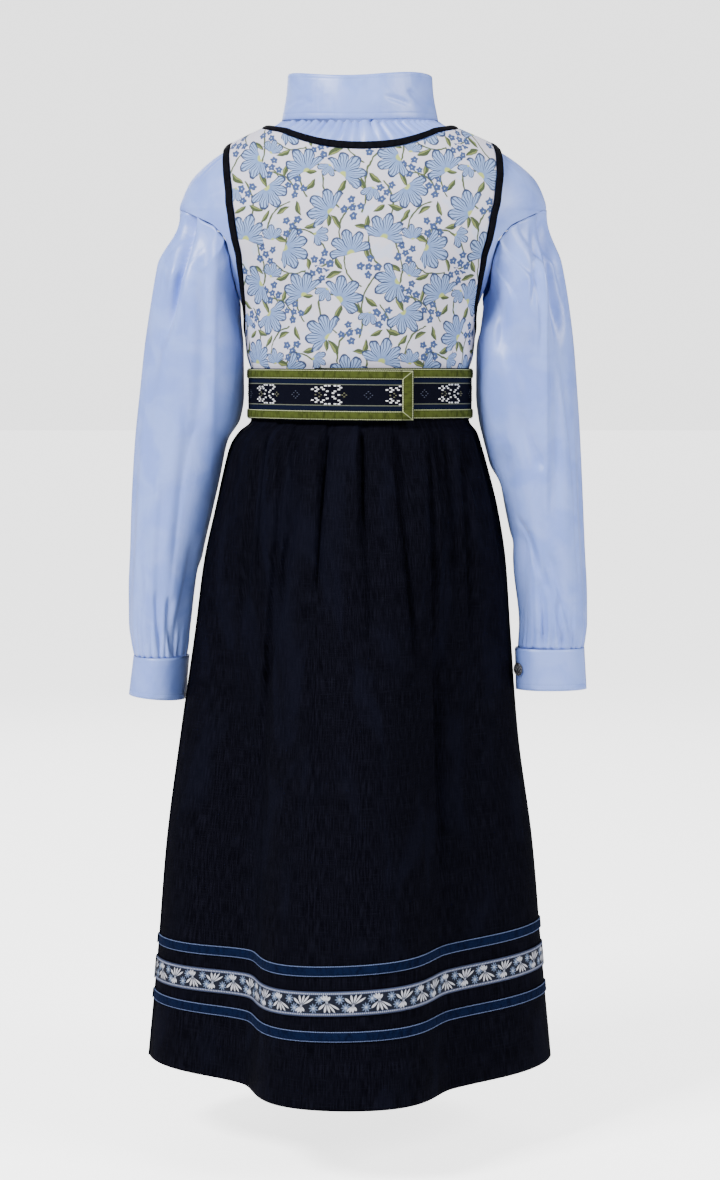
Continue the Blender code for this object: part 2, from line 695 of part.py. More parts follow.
def angle_at(part, z, above, below):
    """The angle of part of a curve at a height, or a given one above and below it."""
    if z >= part[0][1]:
        return above
    if z <= part[-1][1]:
        return below
    i = next(k for k in range(len(part) - 1) if part[k + 1][1] <= z)
    share = (z - part[i][1]) / min(part[i + 1][1] - part[i][1], -1e-9)
    return part[i][0] + (part[i + 1][0] - part[i][0]) * share



def bodice_quarter(armhole, neck, table_side, middle_gap):
    """Rows of a quarter of the bodice, as angles from the side line, with their heights.

    The rows lie at the heights of the armhole's and the neckline's own points.
    """
    outer = side_of(armhole, table_side)
    inner = side_of(neck, table_side)
    corner = min(inner, key=lambda point: point[0])[1]
    low = inner[-1][1]
    fixed = [low] + [z for angle, z in outer if z < corner - ROW_SPACE and abs(z - low) > ROW_SPACE]
    heights = sorted(fixed, reverse=True)
    for angle, z in inner:
        if z < corner and all(abs(z - other) > ROW_SPACE for other in heights):
            heights.append(z)
    heights = [corner - ROW_SPACE / 2] + sorted(heights, reverse=True)
    heights += [(outer[-1][1] + WAIST_SEAM) / 2, WAIST_SEAM]
    rows = []
    for z in heights:
        start = angle_at(outer, z, SEAM_ANGLE, SEAM_ANGLE)
        end = angle_at(inner, z, SEAM_ANGLE, 90.0 - middle_gap)
        if z == low:
            end = 90.0 - middle_gap
        steps = BODICE_STEPS * 2 if z <= outer[-1][1] else BODICE_STEPS
        rows.append([(max(angle, SEAM_ANGLE), z) for angle in spaced(start, end, steps)])
    return rows


def bodice_walls(rows, place):
    return [[body_pair(place(angle), z + (SEAM_GAP if z == WAIST_SEAM else 0.0),
                       BODICE_OUT, BODICE_WALL) for angle, z in row] for row in rows]


def build_bodice():
    arm_edge = armhole_loop()
    neck_edge = neck_loop()
    arm_inner = aside(arm_edge, -BINDING_WIDTH, True)
    neck_inner = aside(neck_edge, BINDING_WIDTH, False)
    arm_seam = aside(arm_edge, -BINDING_WIDTH - BINDING_GAP, True)
    neck_seam = aside(neck_edge, BINDING_WIDTH + BINDING_GAP, False)

    back = bodice_quarter(arm_seam, neck_seam, 1, 0.0)
    left = bodice_walls(back, lambda angle: angle)
    right = [row[::-1] for row in bodice_walls(back, lambda angle: 180.0 - angle)]
    wall("bodice_back", [left, right], "bodice_print")
    front = bodice_quarter(arm_seam, neck_seam, -1, 0.15)
    left = [row[::-1] for row in bodice_walls(front, lambda angle: -angle)]
    wall("bodice_front_left", [left], "bodice_print")
    right = bodice_walls(front, lambda angle: 180.0 + angle)
    wall("bodice_front_right", [right], "bodice_print")

    def strip(curve, place):
        return [body_pair(place(angle), z, BINDING_OUT, BINDING_WALL) for angle, z in curve]

    def as_it_is(angle):
        return angle

    def mirrored(angle):
        return 180.0 - angle

    wall("armhole_binding_left", [[strip(arm_inner, as_it_is), strip(arm_edge, as_it_is)]],
         "black_velvet", closed=True)
    wall("armhole_binding_right", [[strip(arm_edge, mirrored), strip(arm_inner, mirrored)]],
         "black_velvet", closed=True)
    trimmed = 0.12
    neck_edge[0] = (neck_edge[0][0] + trimmed, neck_edge[0][1])
    neck_inner[0] = (neck_edge[0][0], neck_inner[0][1])
    neck_edge[-1] = (neck_edge[-1][0] - trimmed, neck_edge[-1][1])
    neck_inner[-1] = (neck_edge[-1][0], neck_inner[-1][1])
    wall("neck_binding", [[strip(neck_edge, as_it_is), strip(neck_inner, as_it_is)]], "black_velvet")


# Skirt: a back and a front, knife pleated into the waist seam, with three ribbons sewn round it

def skirt_columns(z):
    """Angles round the skirt at a height, four for each pleat, with the pleat's depth there."""
    spread = ease(-0.26, -0.50, z)
    columns = []
    count = len(PLEATS)
    for i, pleat in enumerate(PLEATS):
        following = PLEATS[(i + 1) % count]
        more = 360.0 if i == count - 1 else 0.0
        start = pleat.waist + (pleat.hem - pleat.waist) * spread
        end = following.waist + (following.hem - following.waist) * spread + more
        reach = pleat.depth * (0.25 + 0.75 * ease(-0.248, -0.275, z))
        reach *= 1.0 - ease(-0.27, pleat.end, z)
        for point in PLEAT_OUTLINE:
            share = point.waist + (point.hem - point.waist) * spread
            columns.append((start + (end - start) * share, reach * point.depth))
    return columns


def skirt_pair(angle, z, inward, out=0.0, thickness=SKIRT_WALL):
    """Outer and inner point of the skirt's wall, or of a ribbon that lies on it."""
    turn = math.radians(angle)
    middle = (read(SKIRT, z, "left") - read(SKIRT, z, "right")) / 2
    half_x = (read(SKIRT, z, "left") + read(SKIRT, z, "right")) / 2
    half_y = read(SKIRT, z, "back" if math.sin(turn) >= 0 else "front")
    full = ease(FOLD_START, FOLD_FULL, z)
    flatter = abs(math.sin(turn)) ** (SIDE_FLATNESS * full)
    point = Vector((middle + half_x * math.cos(turn), half_y * math.sin(turn) * flatter, z))
    normal = Vector((math.cos(turn) / half_x, math.sin(turn) / half_y, 0)).normalized()
    for fold in FOLDS:
        centre = fold.waist + (fold.hem - fold.waist) * full
        width = fold.before if angle < centre else fold.after
        inward += fold.depth * full * math.exp(-((angle - centre) / width) ** 2)
    point = point - normal * inward
    return point + normal * out, point + normal * (out - thickness)


def skirt_rows():
    """All round, from the waist to the hem: rows of (outer point, inner point)."""
    rows = []
    for section in SKIRT:
        rows.append([skirt_pair(angle, section.z, inward)
                     for angle, inward in skirt_columns(section.z)])
    return rows


def side_seam(pair, step):
    """Move a point and its partner a little along the skirt, to open the side seam."""
    shift = Vector((0, step, 0))
    return pair[0] + shift, pair[1] + shift


def build_skirt():
    rows = skirt_rows()
    count = len(rows[0])
    half = next(i for i, pleat in enumerate(PLEATS) if pleat.waist == 180.0) * len(PLEAT_OUTLINE)
    gap = SEAM_GAP * 0.6
    back = []
    front = []
    for row in rows:
        back.append([side_seam(row[0], gap)] + row[1:half] + [side_seam(row[half], gap)])
        front.append([side_seam(row[half], -gap)] + row[half + 1:count] + [side_seam(row[0], -gap)])
    wall("skirt_back", [back], "skirt_wool")
    wall("skirt_front", [front], "skirt_wool")
    for ribbon in RIBBONS:
        edges = []
        for drop in (0.0, ribbon.height):
            edge = []
            for column in range(count):
                edge.append(on_skirt(rows, column, ribbon, drop))
            edges.append(edge)
        wall(ribbon.name, [edges], ribbon.material, closed=True)


def on_skirt(rows, column, ribbon, drop):
    """A ribbon's point, taken from the skirt's own column and moved out from it."""
    aim = ribbon.top - drop
    for upper, lower in zip(rows, rows[1:]):
        above, below = upper[column], lower[column]
        level = aim + ribbon.slope * above[0].x
        if above[0].z >= level >= below[0].z:
            share = (level - above[0].z) / (below[0].z - above[0].z)
            outer = above[0].lerp(below[0], share)
            inner = above[1].lerp(below[1], share)
            normal = (outer - inner).normalized()
            return outer + normal * (RIBBON_GAP + RIBBON_WALL), outer + normal * RIBBON_GAP
    raise ValueError("the ribbon lies off the skirt")


# Belt: a woven band edged with green velvet, wound round the waist and lapped at the back

BELT_HALF_X = 0.0978
BELT_HALF_Y = 0.0798
BELT_WALL = 0.0014
BELT_STEPS = 38
BELT_LAP = 50.0
BELT_END_ANGLE = 117.0
BELT_LIFT = BELT_WALL + SEAM_GAP * 2 + RIBBON_WALL + 0.0004
BELT_DROOP = 0.0016
VELVET_HEIGHT = 0.0074
VELVET_INSET = 0.0009
VELVET_END_WIDTH = 0.0078


def belt_pair(turned, drop, out, thickness):
    """A point of the belt: turned degrees from its hidden end, drop metres below its upper edge."""
    angle = BELT_END_ANGLE - BELT_LAP + turned
    lifted = lap(turned, BELT_LIFT, 48.0)
    z = BELT_TOP - drop - BELT_DROOP * ease(300.0, 410.0, turned)
    return band_pair((0, 0), BELT_HALF_X, BELT_HALF_Y, angle, z, out + lifted, thickness)


def build_belt():
    full = 360.0 + BELT_LAP
    turns = spaced(0.0, full, BELT_STEPS)
    rows = [[belt_pair(turned, drop, 0.0, BELT_WALL) for turned in turns]
            for drop in (0.0, BELT_HEIGHT)]
    wall("belt_band", [rows], "belt_woven")
    lifted = SEAM_GAP + RIBBON_WALL
    degree = math.radians(1.0) * BELT_HALF_Y
    end = full - (VELVET_END_WIDTH + VELVET_INSET) / degree
    upper = VELVET_INSET
    lower = BELT_HEIGHT - VELVET_INSET - VELVET_HEIGHT
    for name, start in (("belt_velvet_upper", upper), ("belt_velvet_lower", lower)):
        along = [turned for turned in turns if turned < end - 0.5] + [end - SEAM_GAP / degree]
        rows = [[belt_pair(turned, drop, lifted, RIBBON_WALL) for turned in along]
                for drop in (start, start + VELVET_HEIGHT)]
        wall(name, [rows], "green_velvet")
    across = (end, full - VELVET_INSET / degree)
    rows = [[belt_pair(turned, drop, lifted, RIBBON_WALL) for turned in across]
            for drop in (upper, lower + VELVET_HEIGHT)]
    wall("belt_velvet_end", [rows], "green_velvet")


# Buttons: domed metal buttons with a raised rim, on the collar and on each cuff

ButtonPoint = namedtuple("ButtonPoint", "radius height")
BUTTON_PROFILE = [
    ButtonPoint(0.30, 1.00),
    ButtonPoint(0.62, 0.86),
    ButtonPoint(0.80, 0.62),
    ButtonPoint(0.88, 0.66),
    ButtonPoint(1.00, 0.50),
    ButtonPoint(1.00, 0.22),
    ButtonPoint(0.55, 0.00),
]
BUTTON_SIDES = 12


def build_button(name, pair, upward):
    """A turned button whose back rests on the outer point of the cloth under it."""
    outer, inner = pair
    axis = (outer - inner).normalized()
    model = bmesh.new()
    rings = []
    for point in BUTTON_PROFILE:
        ring = []
        for k in range(BUTTON_SIDES):
            turn = 2 * math.pi * k / BUTTON_SIDES
            radius = point.radius * BUTTON_RADIUS
            place = (radius * math.cos(turn), radius * math.sin(turn), point.height * BUTTON_HEIGHT)
            ring.append(model.verts.new(place))
        rings.append(ring)
    for upper, lower in zip(rings, rings[1:]):
        for k in range(BUTTON_SIDES):
            following = (k + 1) % BUTTON_SIDES
            model.faces.new((upper[k], lower[k], lower[following], upper[following]))
    model.faces.new(rings[0])
    model.faces.new(rings[-1][::-1])
    across = upward.cross(axis).normalized()
    frame = Matrix((across, axis.cross(across), axis)).transposed().to_4x4()
    frame.translation = outer + axis * SEAM_GAP
    model.transform(frame)
    finish(name, model, "button_metal")


def build_buttons():
    up = Vector((0, 0, 1))
    lower, upper = (collar_pair(360.0 + COLLAR_LAP / 2, COLLAR_LEVELS[k]) for k in (2, 1))
    place = lower[0].lerp(upper[0], 0.5)
    build_button("collar_button", (place, lower[1].lerp(upper[1], 0.5)), up)
    for side in ("left", "right"):
        place = cuff_pair(side, 360.0 + CUFF_OVERLAP * 0.55, 0.5)
        build_button(f"cuff_button_{side}", place, up)


for old in list(bpy.data.objects):
    bpy.data.objects.remove(old)
COSTUME = bpy.data.collections.new("bunad_costume")
bpy.context.scene.collection.children.link(COSTUME)
MATERIALS = make_materials()

build_shirt()
build_collar()
build_sleeve("left", SLEEVE_LEFT)
build_sleeve("right", SLEEVE_RIGHT)
build_cuff("left")
build_cuff("right")
build_buttons()
build_bodice()
build_skirt()
build_belt()
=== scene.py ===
"""The looks of a child's bunad costume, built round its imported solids.

Each section is one part of the costume, from the shirt outwards. The costume's own left is +X,
the photographed back is +Y, and everything is in metres. Angles are in degrees round the
costume: 0 at its left, 90 behind, 180 at its right and 270 in front.
"""
import math

import bmesh
import bpy
import numpy as np
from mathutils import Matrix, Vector


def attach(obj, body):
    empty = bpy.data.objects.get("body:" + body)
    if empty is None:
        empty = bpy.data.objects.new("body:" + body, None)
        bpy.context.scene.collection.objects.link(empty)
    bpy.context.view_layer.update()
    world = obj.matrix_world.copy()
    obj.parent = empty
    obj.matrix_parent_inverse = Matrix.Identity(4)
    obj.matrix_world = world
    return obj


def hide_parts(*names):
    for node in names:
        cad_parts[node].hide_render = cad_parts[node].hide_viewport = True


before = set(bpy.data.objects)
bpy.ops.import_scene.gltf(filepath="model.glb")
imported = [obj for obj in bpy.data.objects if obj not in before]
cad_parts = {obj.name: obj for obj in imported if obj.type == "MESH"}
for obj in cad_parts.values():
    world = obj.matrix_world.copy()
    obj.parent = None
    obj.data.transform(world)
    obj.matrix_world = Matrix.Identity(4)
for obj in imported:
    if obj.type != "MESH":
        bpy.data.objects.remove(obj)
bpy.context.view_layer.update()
for thing in bpy.context.selected_objects:
    thing.select_set(False)


# Shirt body. A light blue satin back and two fronts, cut wide and gathered into the collar.
# The sleeves are set in low on the arm, and the long tails are tucked into the skirt.

SHIRT_BODY = [  # height, middle, half width, depth behind, depth in front
    (0.0140, 0.0000, 0.0660, 0.0505, 0.0505),
    (0.0100, 0.0000, 0.0705, 0.0530, 0.0525),
    (0.0060, 0.0000, 0.0770, 0.0560, 0.0550),
    (0.0000, -0.0005, 0.0895, 0.0600, 0.0585),
    (-0.0060, -0.0010, 0.1030, 0.0630, 0.0610),
    (-0.0130, -0.0015, 0.1165, 0.0655, 0.0635),
    (-0.0200, -0.0020, 0.1280, 0.0680, 0.0655),
    (-0.0290, -0.0025, 0.1395, 0.0705, 0.0680),
    (-0.0400, -0.0030, 0.1500, 0.0735, 0.0710),
    (-0.0520, -0.0030, 0.1560, 0.0765, 0.0740),
    (-0.0640, -0.0025, 0.1595, 0.0785, 0.0765),
    (-0.0760, -0.0020, 0.1580, 0.0800, 0.0785),
    (-0.0900, -0.0018, 0.1500, 0.0810, 0.0800),
    (-0.1080, -0.0012, 0.1300, 0.0815, 0.0812),
    (-0.1300, -0.0006, 0.1120, 0.0808, 0.0818),
    (-0.1500, 0.0000, 0.1020, 0.0792, 0.0807),
    (-0.1720, 0.0000, 0.0976, 0.0768, 0.0787),
    (-0.1900, 0.0000, 0.0956, 0.0748, 0.0765),
    (-0.2040, 0.0000, 0.0915, 0.0720, 0.0738),
    (-0.2230, 0.0000, 0.0890, 0.0702, 0.0718),
    (-0.2460, 0.0000, 0.0880, 0.0695, 0.0710),
    (-0.3200, 0.0000, 0.0940, 0.0740, 0.0750),
]
SLEEVE_SEAM = [  # height, angle behind or in front of the side line
    (-0.0640, 0.0),
    (-0.0665, 14.0),
    (-0.0730, 27.0),
    (-0.0810, 36.0),
    (-0.0920, 38.0),
    (-0.1050, 32.0),
    (-0.1180, 23.5),
    (-0.1310, 14.0),
    (-0.1410, 6.5),
    (-0.1460, 0.0),
]
COLLAR_FOOT = 0.0085
COLLAR_RISE = 0.0034
SHIRT_TAIL = -0.300
SATIN_THICKNESS = 0.0009
SEAM_CLEARANCE = 0.12  # degrees between two pieces at a seam
GATHER_SPACING = 5.8  # degrees between two gathers under the collar


def through(table, column, height):
    """A column of a table at any heights, on a smooth curve through its rows."""
    rows = np.array(sorted(table), dtype=float)
    at, value = rows[:, 0], rows[:, column]
    rise = np.diff(value) / np.diff(at)
    slope = np.concatenate((rise[:1], np.zeros(len(rise) - 1), rise[-1:]))
    turning = rise[:-1] * rise[1:] > 0
    both = np.where(turning, rise[:-1] + rise[1:], 1.0)
    slope[1:-1] = np.where(turning, 2 * rise[:-1] * rise[1:] / both, 0.0)
    height = np.clip(height, at[0], at[-1])
    i = np.clip(np.searchsorted(at, height) - 1, 0, len(at) - 2)
    span = at[i + 1] - at[i]
    t = (height - at[i]) / span
    return ((2 * t**3 - 3 * t**2 + 1) * value[i] + (t**3 - 2 * t**2 + t) * span * slope[i]
            + (3 * t**2 - 2 * t**3) * value[i + 1] + (t**3 - t**2) * span * slope[i + 1])


def ease(start, end, value):
    """0 at start, 1 at end, and a smooth turn between them."""
    t = np.clip((value - start) / (end - start), 0.0, 1.0)
    return t * t * (3 - 2 * t)


def body_side(angle, height):
    """Points of the shirt's outer side, at any angles and heights."""
    angle, height = np.broadcast_arrays(np.asarray(angle, float), np.asarray(height, float))
    turn = np.radians(angle)
    depth = np.where(np.sin(turn) >= 0, through(SHIRT_BODY, 3, height), through(SHIRT_BODY, 4, height))
    x = through(SHIRT_BODY, 1, height) + through(SHIRT_BODY, 2, height) * np.cos(turn)
    return np.stack((x, depth * np.sin(turn), height), -1)


def unit(vectors):
    """Vectors of length one."""
    return vectors / np.maximum(np.linalg.norm(vectors, axis=-1, keepdims=True), 1e-12)


def running(steps):
    """The length run so far, from zero."""
    return np.concatenate(([0.0], np.cumsum(steps)))


def body_slopes(angle, height):
    """How the body's surface runs round it and up it, for each degree and each metre."""
    around = body_side(angle + 0.5, height) - body_side(angle - 0.5, height)
    upward = (body_side(angle, height + 0.001) - body_side(angle, height - 0.001)) / 0.002
    return around, upward


def off_body(angle, height, out):
    """Points that lie a distance out from the shirt."""
    around, upward = body_slopes(angle, height)
    return body_side(angle, height) + unit(np.cross(around, upward)) * np.asarray(out)[..., None]


def facing(grid):
    """Outward directions of a grid of points whose rows run down and columns run leftwards."""
    down = np.gradient(grid, axis=0)
    along = np.gradient(grid, axis=1)
    return unit(np.cross(down, along))


def body_ruler(angle, height):
    """Flat coordinates of the cloth on the body: round it from the middle, and up it."""
    heights = np.linspace(-0.32, 0.014, 120)
    depth = through(SHIRT_BODY, 3, heights)
    steps = np.hypot(np.diff(heights), np.diff(depth))
    upward = np.interp(height, heights, running(steps))
    fine = np.linspace(0.0, 180.0, 91)
    across = np.empty_like(angle, dtype=float)
    for i in range(len(angle)):
        edge = body_side(fine, height[i].mean())
        run = running(np.linalg.norm(np.diff(edge, axis=0), axis=1))
        across[i] = np.interp(angle[i] % 180.0 if angle[i].max() > 180.5 else angle[i], fine, run)
        across[i] -= run[45]
    return np.stack((-across, upward), -1)


def creased(place, folds):
    """How deep folds press into cloth: each runs from one place to another with a width and a depth.

    A depth above zero is a trough. One flank can be sharper than the other, as on a pressed fold.
    """
    push = np.zeros(place.shape[:2])
    for x1, y1, x2, y2, width, depth, sharp in folds:
        run = np.array((x2 - x1, y2 - y1))
        length = np.linalg.norm(run)
        run = run / length
        away = place - np.array((x1, y1))
        along = away @ run / length
        side = away @ np.array((-run[1], run[0]))
        bend = width * 0.25 * np.sin(along * 5.0 + x1 * 90.0)
        side = side + bend
        flank = np.where(side > 0, width * sharp, width)
        fade = ease(-0.06, 0.16, along) * (1 - ease(0.70, 1.08, along))
        push += depth * fade * np.exp(-(side / flank) ** 2)
    return push


def sew(name, patches, rulers, thickness, cloth, node):
    """A thin sheet of cloth from grids of points, in place of a solid.

    Its flat ruler carries the weave and the print.
    """
    points = []
    marks = []
    faces = []
    for grid, ruler in zip(patches, rulers):
        start = sum(len(part) for part in points)
        rows, columns = grid.shape[:2]
        points.append(grid.reshape(-1, 3))
        marks.append(ruler.reshape(-1, 2))
        corner = start + np.arange(rows * columns).reshape(rows, columns)
        faces.append(np.stack((corner[:-1, :-1], corner[1:, :-1], corner[1:, 1:], corner[:-1, 1:]),
                              -1).reshape(-1, 4))
    points = np.concatenate(points)
    marks = np.concatenate(marks)
    faces = np.concatenate(faces)
    mesh = bpy.data.meshes.new(name)
    mesh.from_pydata(points.tolist(), [], faces.tolist())
    flat = mesh.uv_layers.new(name="cloth")
    flat.data.foreach_set("uv", marks[faces.reshape(-1)].reshape(-1).astype(np.float32))
    shape = bmesh.new()
    shape.from_mesh(mesh)
    bmesh.ops.remove_doubles(shape, verts=shape.verts, dist=0.00002)
    shape.to_mesh(mesh)
    shape.free()
    mesh.shade_smooth()
    piece = bpy.data.objects.new(name, mesh)
    bpy.context.scene.collection.objects.link(piece)
    wall = piece.modifiers.new("thickness", "SOLIDIFY")
    wall.thickness = thickness
    wall.offset = -1.0
    mesh.materials.append(cloth)
    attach(piece, "root")
    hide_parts(node)
    return piece


class Value:
    """A number, vector or colour that varies over a surface, so that sums can be written plainly."""

    def __init__(self, socket):
        self.socket = socket

    def __add__(self, other):
        return work("ADD", self, other)

    def __sub__(self, other):
        return work("SUBTRACT", self, other)

    def __rsub__(self, other):
        return work("SUBTRACT", other, self)

    def __mul__(self, other):
        return work("MULTIPLY", self, other)

    def __truediv__(self, other):
        return work("DIVIDE", self, other)

    def __rtruediv__(self, other):
        return work("DIVIDE", other, self)

    def __abs__(self):
        return work("ABSOLUTE", self)


def tree_of(values):
    """The node tree that some values belong to."""
    return next(value.socket.id_data for value in values if isinstance(value, Value))


def join(value, socket):
    """Lead a value to an input, or set the input to a constant."""
    value = getattr(value, "socket", value)
    if isinstance(value, bpy.types.NodeSocket):
        socket.id_data.links.new(value, socket)
    else:
        socket.default_value = value


def put(tree, kind, inputs=(), **settings):
    """Add a node, choose its settings, and set or join its inputs."""
    made = tree.nodes.new(kind)
    for key, value in settings.items():
        setattr(made, key, value)
    for key, value in dict(inputs).items():
        join(value, made.inputs[key])
    return made


def work(operation, *values):
    """One step of arithmetic on the values of a surface."""
    made = put(tree_of(values), "ShaderNodeMath", dict(enumerate(values)), operation=operation)
    return Value(made.outputs[0])


def axes(vector):
    """The three numbers of a vector."""
    made = put(tree_of([vector]), "ShaderNodeSeparateXYZ", {0: vector})
    return [Value(socket) for socket in made.outputs]


def stretched(where, scale):
    """Coordinates that are scaled along each axis."""
    made = put(tree_of([where]), "ShaderNodeMapping", {"Vector": where, "Scale": scale})
    return Value(made.outputs[0])


def in_space(shader):
    """Coordinates in space, in metres."""
    return Value(put(shader.id_data, "ShaderNodeTexCoord").outputs["Object"])


def new_cloth(name, roughness, **shine):
    """A material with its main shader, and the cloth's flat ruler in metres."""
    material = bpy.data.materials.new(name)
    material.use_nodes = True
    shader = material.node_tree.nodes["Principled BSDF"]
    shader.inputs["Roughness"].default_value = roughness
    for key, value in shine.items():
        shader.inputs[key.replace("_", " ")].default_value = value
    ruler = put(material.node_tree, "ShaderNodeUVMap", uv_map="cloth").outputs[0]
    return material, shader, Value(ruler)


def seam_angle(height):
    """How far the shirt's side seam or sleeve seam lies from the side line."""
    inside = (height > SLEEVE_SEAM[-1][0]) & (height < SLEEVE_SEAM[0][0])
    seam = np.maximum(through(SLEEVE_SEAM, 1, height), SEAM_CLEARANCE)
    return np.where(inside, seam, SEAM_CLEARANCE)


def shirt_panel(start, end, seed, columns=76):
    """A panel of the shirt between two angles, gathered where it meets the collar."""
    share = np.linspace(0.0, 1.0, columns)
    top = COLLAR_FOOT - 0.0006
    heights = np.concatenate((np.linspace(top, -0.020, 26), np.linspace(-0.0225, -0.146, 48),
                              np.linspace(-0.153, SHIRT_TAIL, 16)))
    first, last = start(heights), end(heights)
    angle = first[:, None] + (last - first)[:, None] * share
    height = np.repeat(heights[:, None], len(share), 1)
    rise = COLLAR_RISE * np.cos(np.radians(angle)) ** 2
    height = height + rise * ease(-0.004, top, height)
    grid = body_side(angle, height)
    random = np.random.default_rng(seed)
    span = abs(last[0] - first[0])
    low = min(first[0], last[0])
    push = np.zeros(angle.shape)
    for k in range(int(span / GATHER_SPACING)):
        centre = low + GATHER_SPACING * (k + 0.5) + random.uniform(-1.2, 1.2)
        wide = random.uniform(1.2, 1.7)
        deep = random.uniform(0.0022, 0.0042)
        reach = random.uniform(0.016, 0.034)
        below = COLLAR_FOOT - height
        push += deep * np.exp(-((angle - centre) / wide) ** 2) * np.exp(-(below / reach) ** 2)
    return grid - facing(grid) * push[..., None], body_ruler(angle, height)


def group(name, wanted, given, vectors=()):
    """An empty node group, its inputs by name, and the node that its outputs are led to."""
    tree = bpy.data.node_groups.new(name, "ShaderNodeTree")
    for keys, way in ((wanted, "INPUT"), (given, "OUTPUT")):
        for key in keys:
            kind = "NodeSocketVector" if key in vectors else "NodeSocketFloat"
            tree.interface.new_socket(key, in_out=way, socket_type=kind)
    inputs = tree.nodes.new("NodeGroupInput").outputs
    return tree, {key: Value(inputs[key]) for key in wanted}, tree.nodes.new("NodeGroupOutput")


def place_group(effect, **inputs):
    """A group in a material, with its inputs set or joined. Its outputs come by name."""
    made = tree_of(inputs.values()).nodes.new("ShaderNodeGroup")
    made.node_tree = effect
    for key, value in inputs.items():
        join(value, made.inputs[key.replace("_", " ")])
    return {socket.name: Value(socket) for socket in made.outputs}


def blend(share, first, second):
    """Mix two colours by a share."""
    first, second = ((*tone, 1) if isinstance(tone, tuple) else tone for tone in (first, second))
    made = put(tree_of([share]), "ShaderNodeMix", {0: share, 6: first, 7: second}, data_type="RGBA")
    return Value(made.outputs[2])


def between(value, low, high, out_low=0.0, out_high=1.0):
    """Turn a value from one range into another, with a smooth start and end."""
    ends = {0: value, 1: low, 2: high, 3: out_low, 4: out_high}
    return Value(put(tree_of([value]), "ShaderNodeMapRange", ends,
                     interpolation_type="SMOOTHSTEP").outputs[0])


def rough_noise(where, scale, detail=2.0, distortion=0.0):
    """An uneven value over a surface."""
    settings = {"Vector": where, "Scale": scale, "Detail": detail, "Distortion": distortion}
    return Value(put(tree_of([where]), "ShaderNodeTexNoise", settings).outputs["Fac"])


def relief(shader, height, distance, strength=1.0):
    """Raise and sink a surface by a height."""
    settings = {"Height": height, "Distance": distance, "Strength": strength}
    join(put(shader.id_data, "ShaderNodeBump", settings).outputs[0], shader.inputs["Normal"])


def polar(across, up):
    """How far a place lies from the middle, and at which turn."""
    return work("SQRT", across * across + up * up), work("ARCTAN2", up, across)


# Sewing: a row of short stitches along an edge, each one sunk a little into the cloth
stitch_row, given, result = group("stitch_row", ["Along", "Across", "Length"], ["Thread", "Dip"])
phase = work("FRACT", given["Along"] / given["Length"])
dash = between(phase, 0.1, 0.22) * between(phase, 0.92, 0.78)
near = abs(given["Across"])
join(dash * between(near, 0.00034, 0.00018), result.inputs["Thread"])
join(between(near, 0.0016, 0.0), result.inputs["Dip"])

# Plain weave: threads over and under each other
plain_weave, given, result = group("plain_weave", ["Ruler", "Thread"], ["Height"], ["Ruler"])
over, under = (work("SINE", part / given["Thread"]) for part in axes(given["Ruler"])[:2])
join(over * under + 0.5, result.inputs["Height"])

# The satin: smooth and shiny, with fine lengthwise threads and soft small wrinkles. Its colour holds a
# painted shade: a darker, deeper blue in the hollows of the wrinkles
satin, shader, ruler = new_cloth("light_blue_satin", 0.40, Sheen_Weight=0.15, Sheen_Roughness=0.4,
                                 Specular_IOR_Level=0.48)
place = in_space(shader)
fine = rough_noise(stretched(ruler, (5200.0, 380.0, 1.0)), 1.0, 1.0)
soft = rough_noise(place, 34.0, 3.0, 0.6)
drawn = rough_noise(stretched(place, (46.0, 46.0, 11.0)), 1.0, 3.0, 0.4)
# Painted shade: the noise that raises the soft wrinkles also turns the colour a darker, deeper blue in
# their hollows
tone = blend(between(soft, 0.35, 0.65), (0.15, 0.24, 0.66), (0.205, 0.3, 0.72))
tone = blend(fine * 0.16, tone, (0.36, 0.46, 0.86))
join(tone, shader.inputs["Base Color"])
join(between(fine, 0.2, 0.8, 0.34, 0.46), shader.inputs["Roughness"])
relief(shader, drawn * 1.4 + fine * 0.035 + soft, 0.0013, 0.6)


def satin_panel(name, node, *shape):
    """A shirt panel, sewn from satin in place of its solid."""
    grid, ruler = shirt_panel(*shape)
    return sew(name, [grid], [ruler], SATIN_THICKNESS, satin, node)


back_of_shirt = satin_panel("back_of_shirt", "shirt_back", seam_angle,
                            lambda z: 180.0 - seam_angle(z), 3, 150)
right_shirt_front = satin_panel("right_shirt_front", "shirt_front_right",
                                lambda z: 180.0 + seam_angle(z), lambda z: 269.85 + 0 * z, 4)
left_shirt_front = satin_panel("left_shirt_front", "shirt_front_left",
                               lambda z: 270.15 + 0 * z, lambda z: 360.0 - seam_angle(z), 5)


# Collar. A standing band of two layers of satin, stitched along its foot and lapped in front,
# where one button closes it. The top edge waves a little, as soft cloth does.

COLLAR_HEIGHT = 0.0390
COLLAR_LAP = 17.0
COLLAR_LIFT = 0.0019
COLLAR_WALL = 0.0014
COLLAR_LEVELS = [  # share of the height, half width, half depth, dent
    (0.00, 0.0680, 0.0520, 0.0),
    (0.55, 0.0652, 0.0508, -0.0012),
    (1.00, 0.0626, 0.0492, 0.0),
]


def oval_side(turn, half_x, half_y):
    """Outward directions round an upright oval."""
    return unit(np.stack((np.cos(turn) / half_x, np.sin(turn) / half_y, 0 * turn), -1))


def band(centre, half_x, half_y, angle, height, out):
    """Points of a band round an upright oval, moved out from it."""
    turn = np.radians(angle)
    point = np.stack((centre[0] + half_x * np.cos(turn), centre[1] + half_y * np.sin(turn),
                      height + 0 * turn), -1)
    return point + oval_side(turn, half_x, half_y) * np.asarray(out)[..., None]


def lap(turned, lift, ramp=55.0):
    """How far a wound band is lifted so that its end lies over its start."""
    return lift * ease(360.0 - ramp, 360.0, turned)


def run_along(grid):
    """Distance along the middle row of a grid."""
    middle = grid[len(grid) // 2]
    return running(np.linalg.norm(np.diff(middle, axis=0), axis=1))


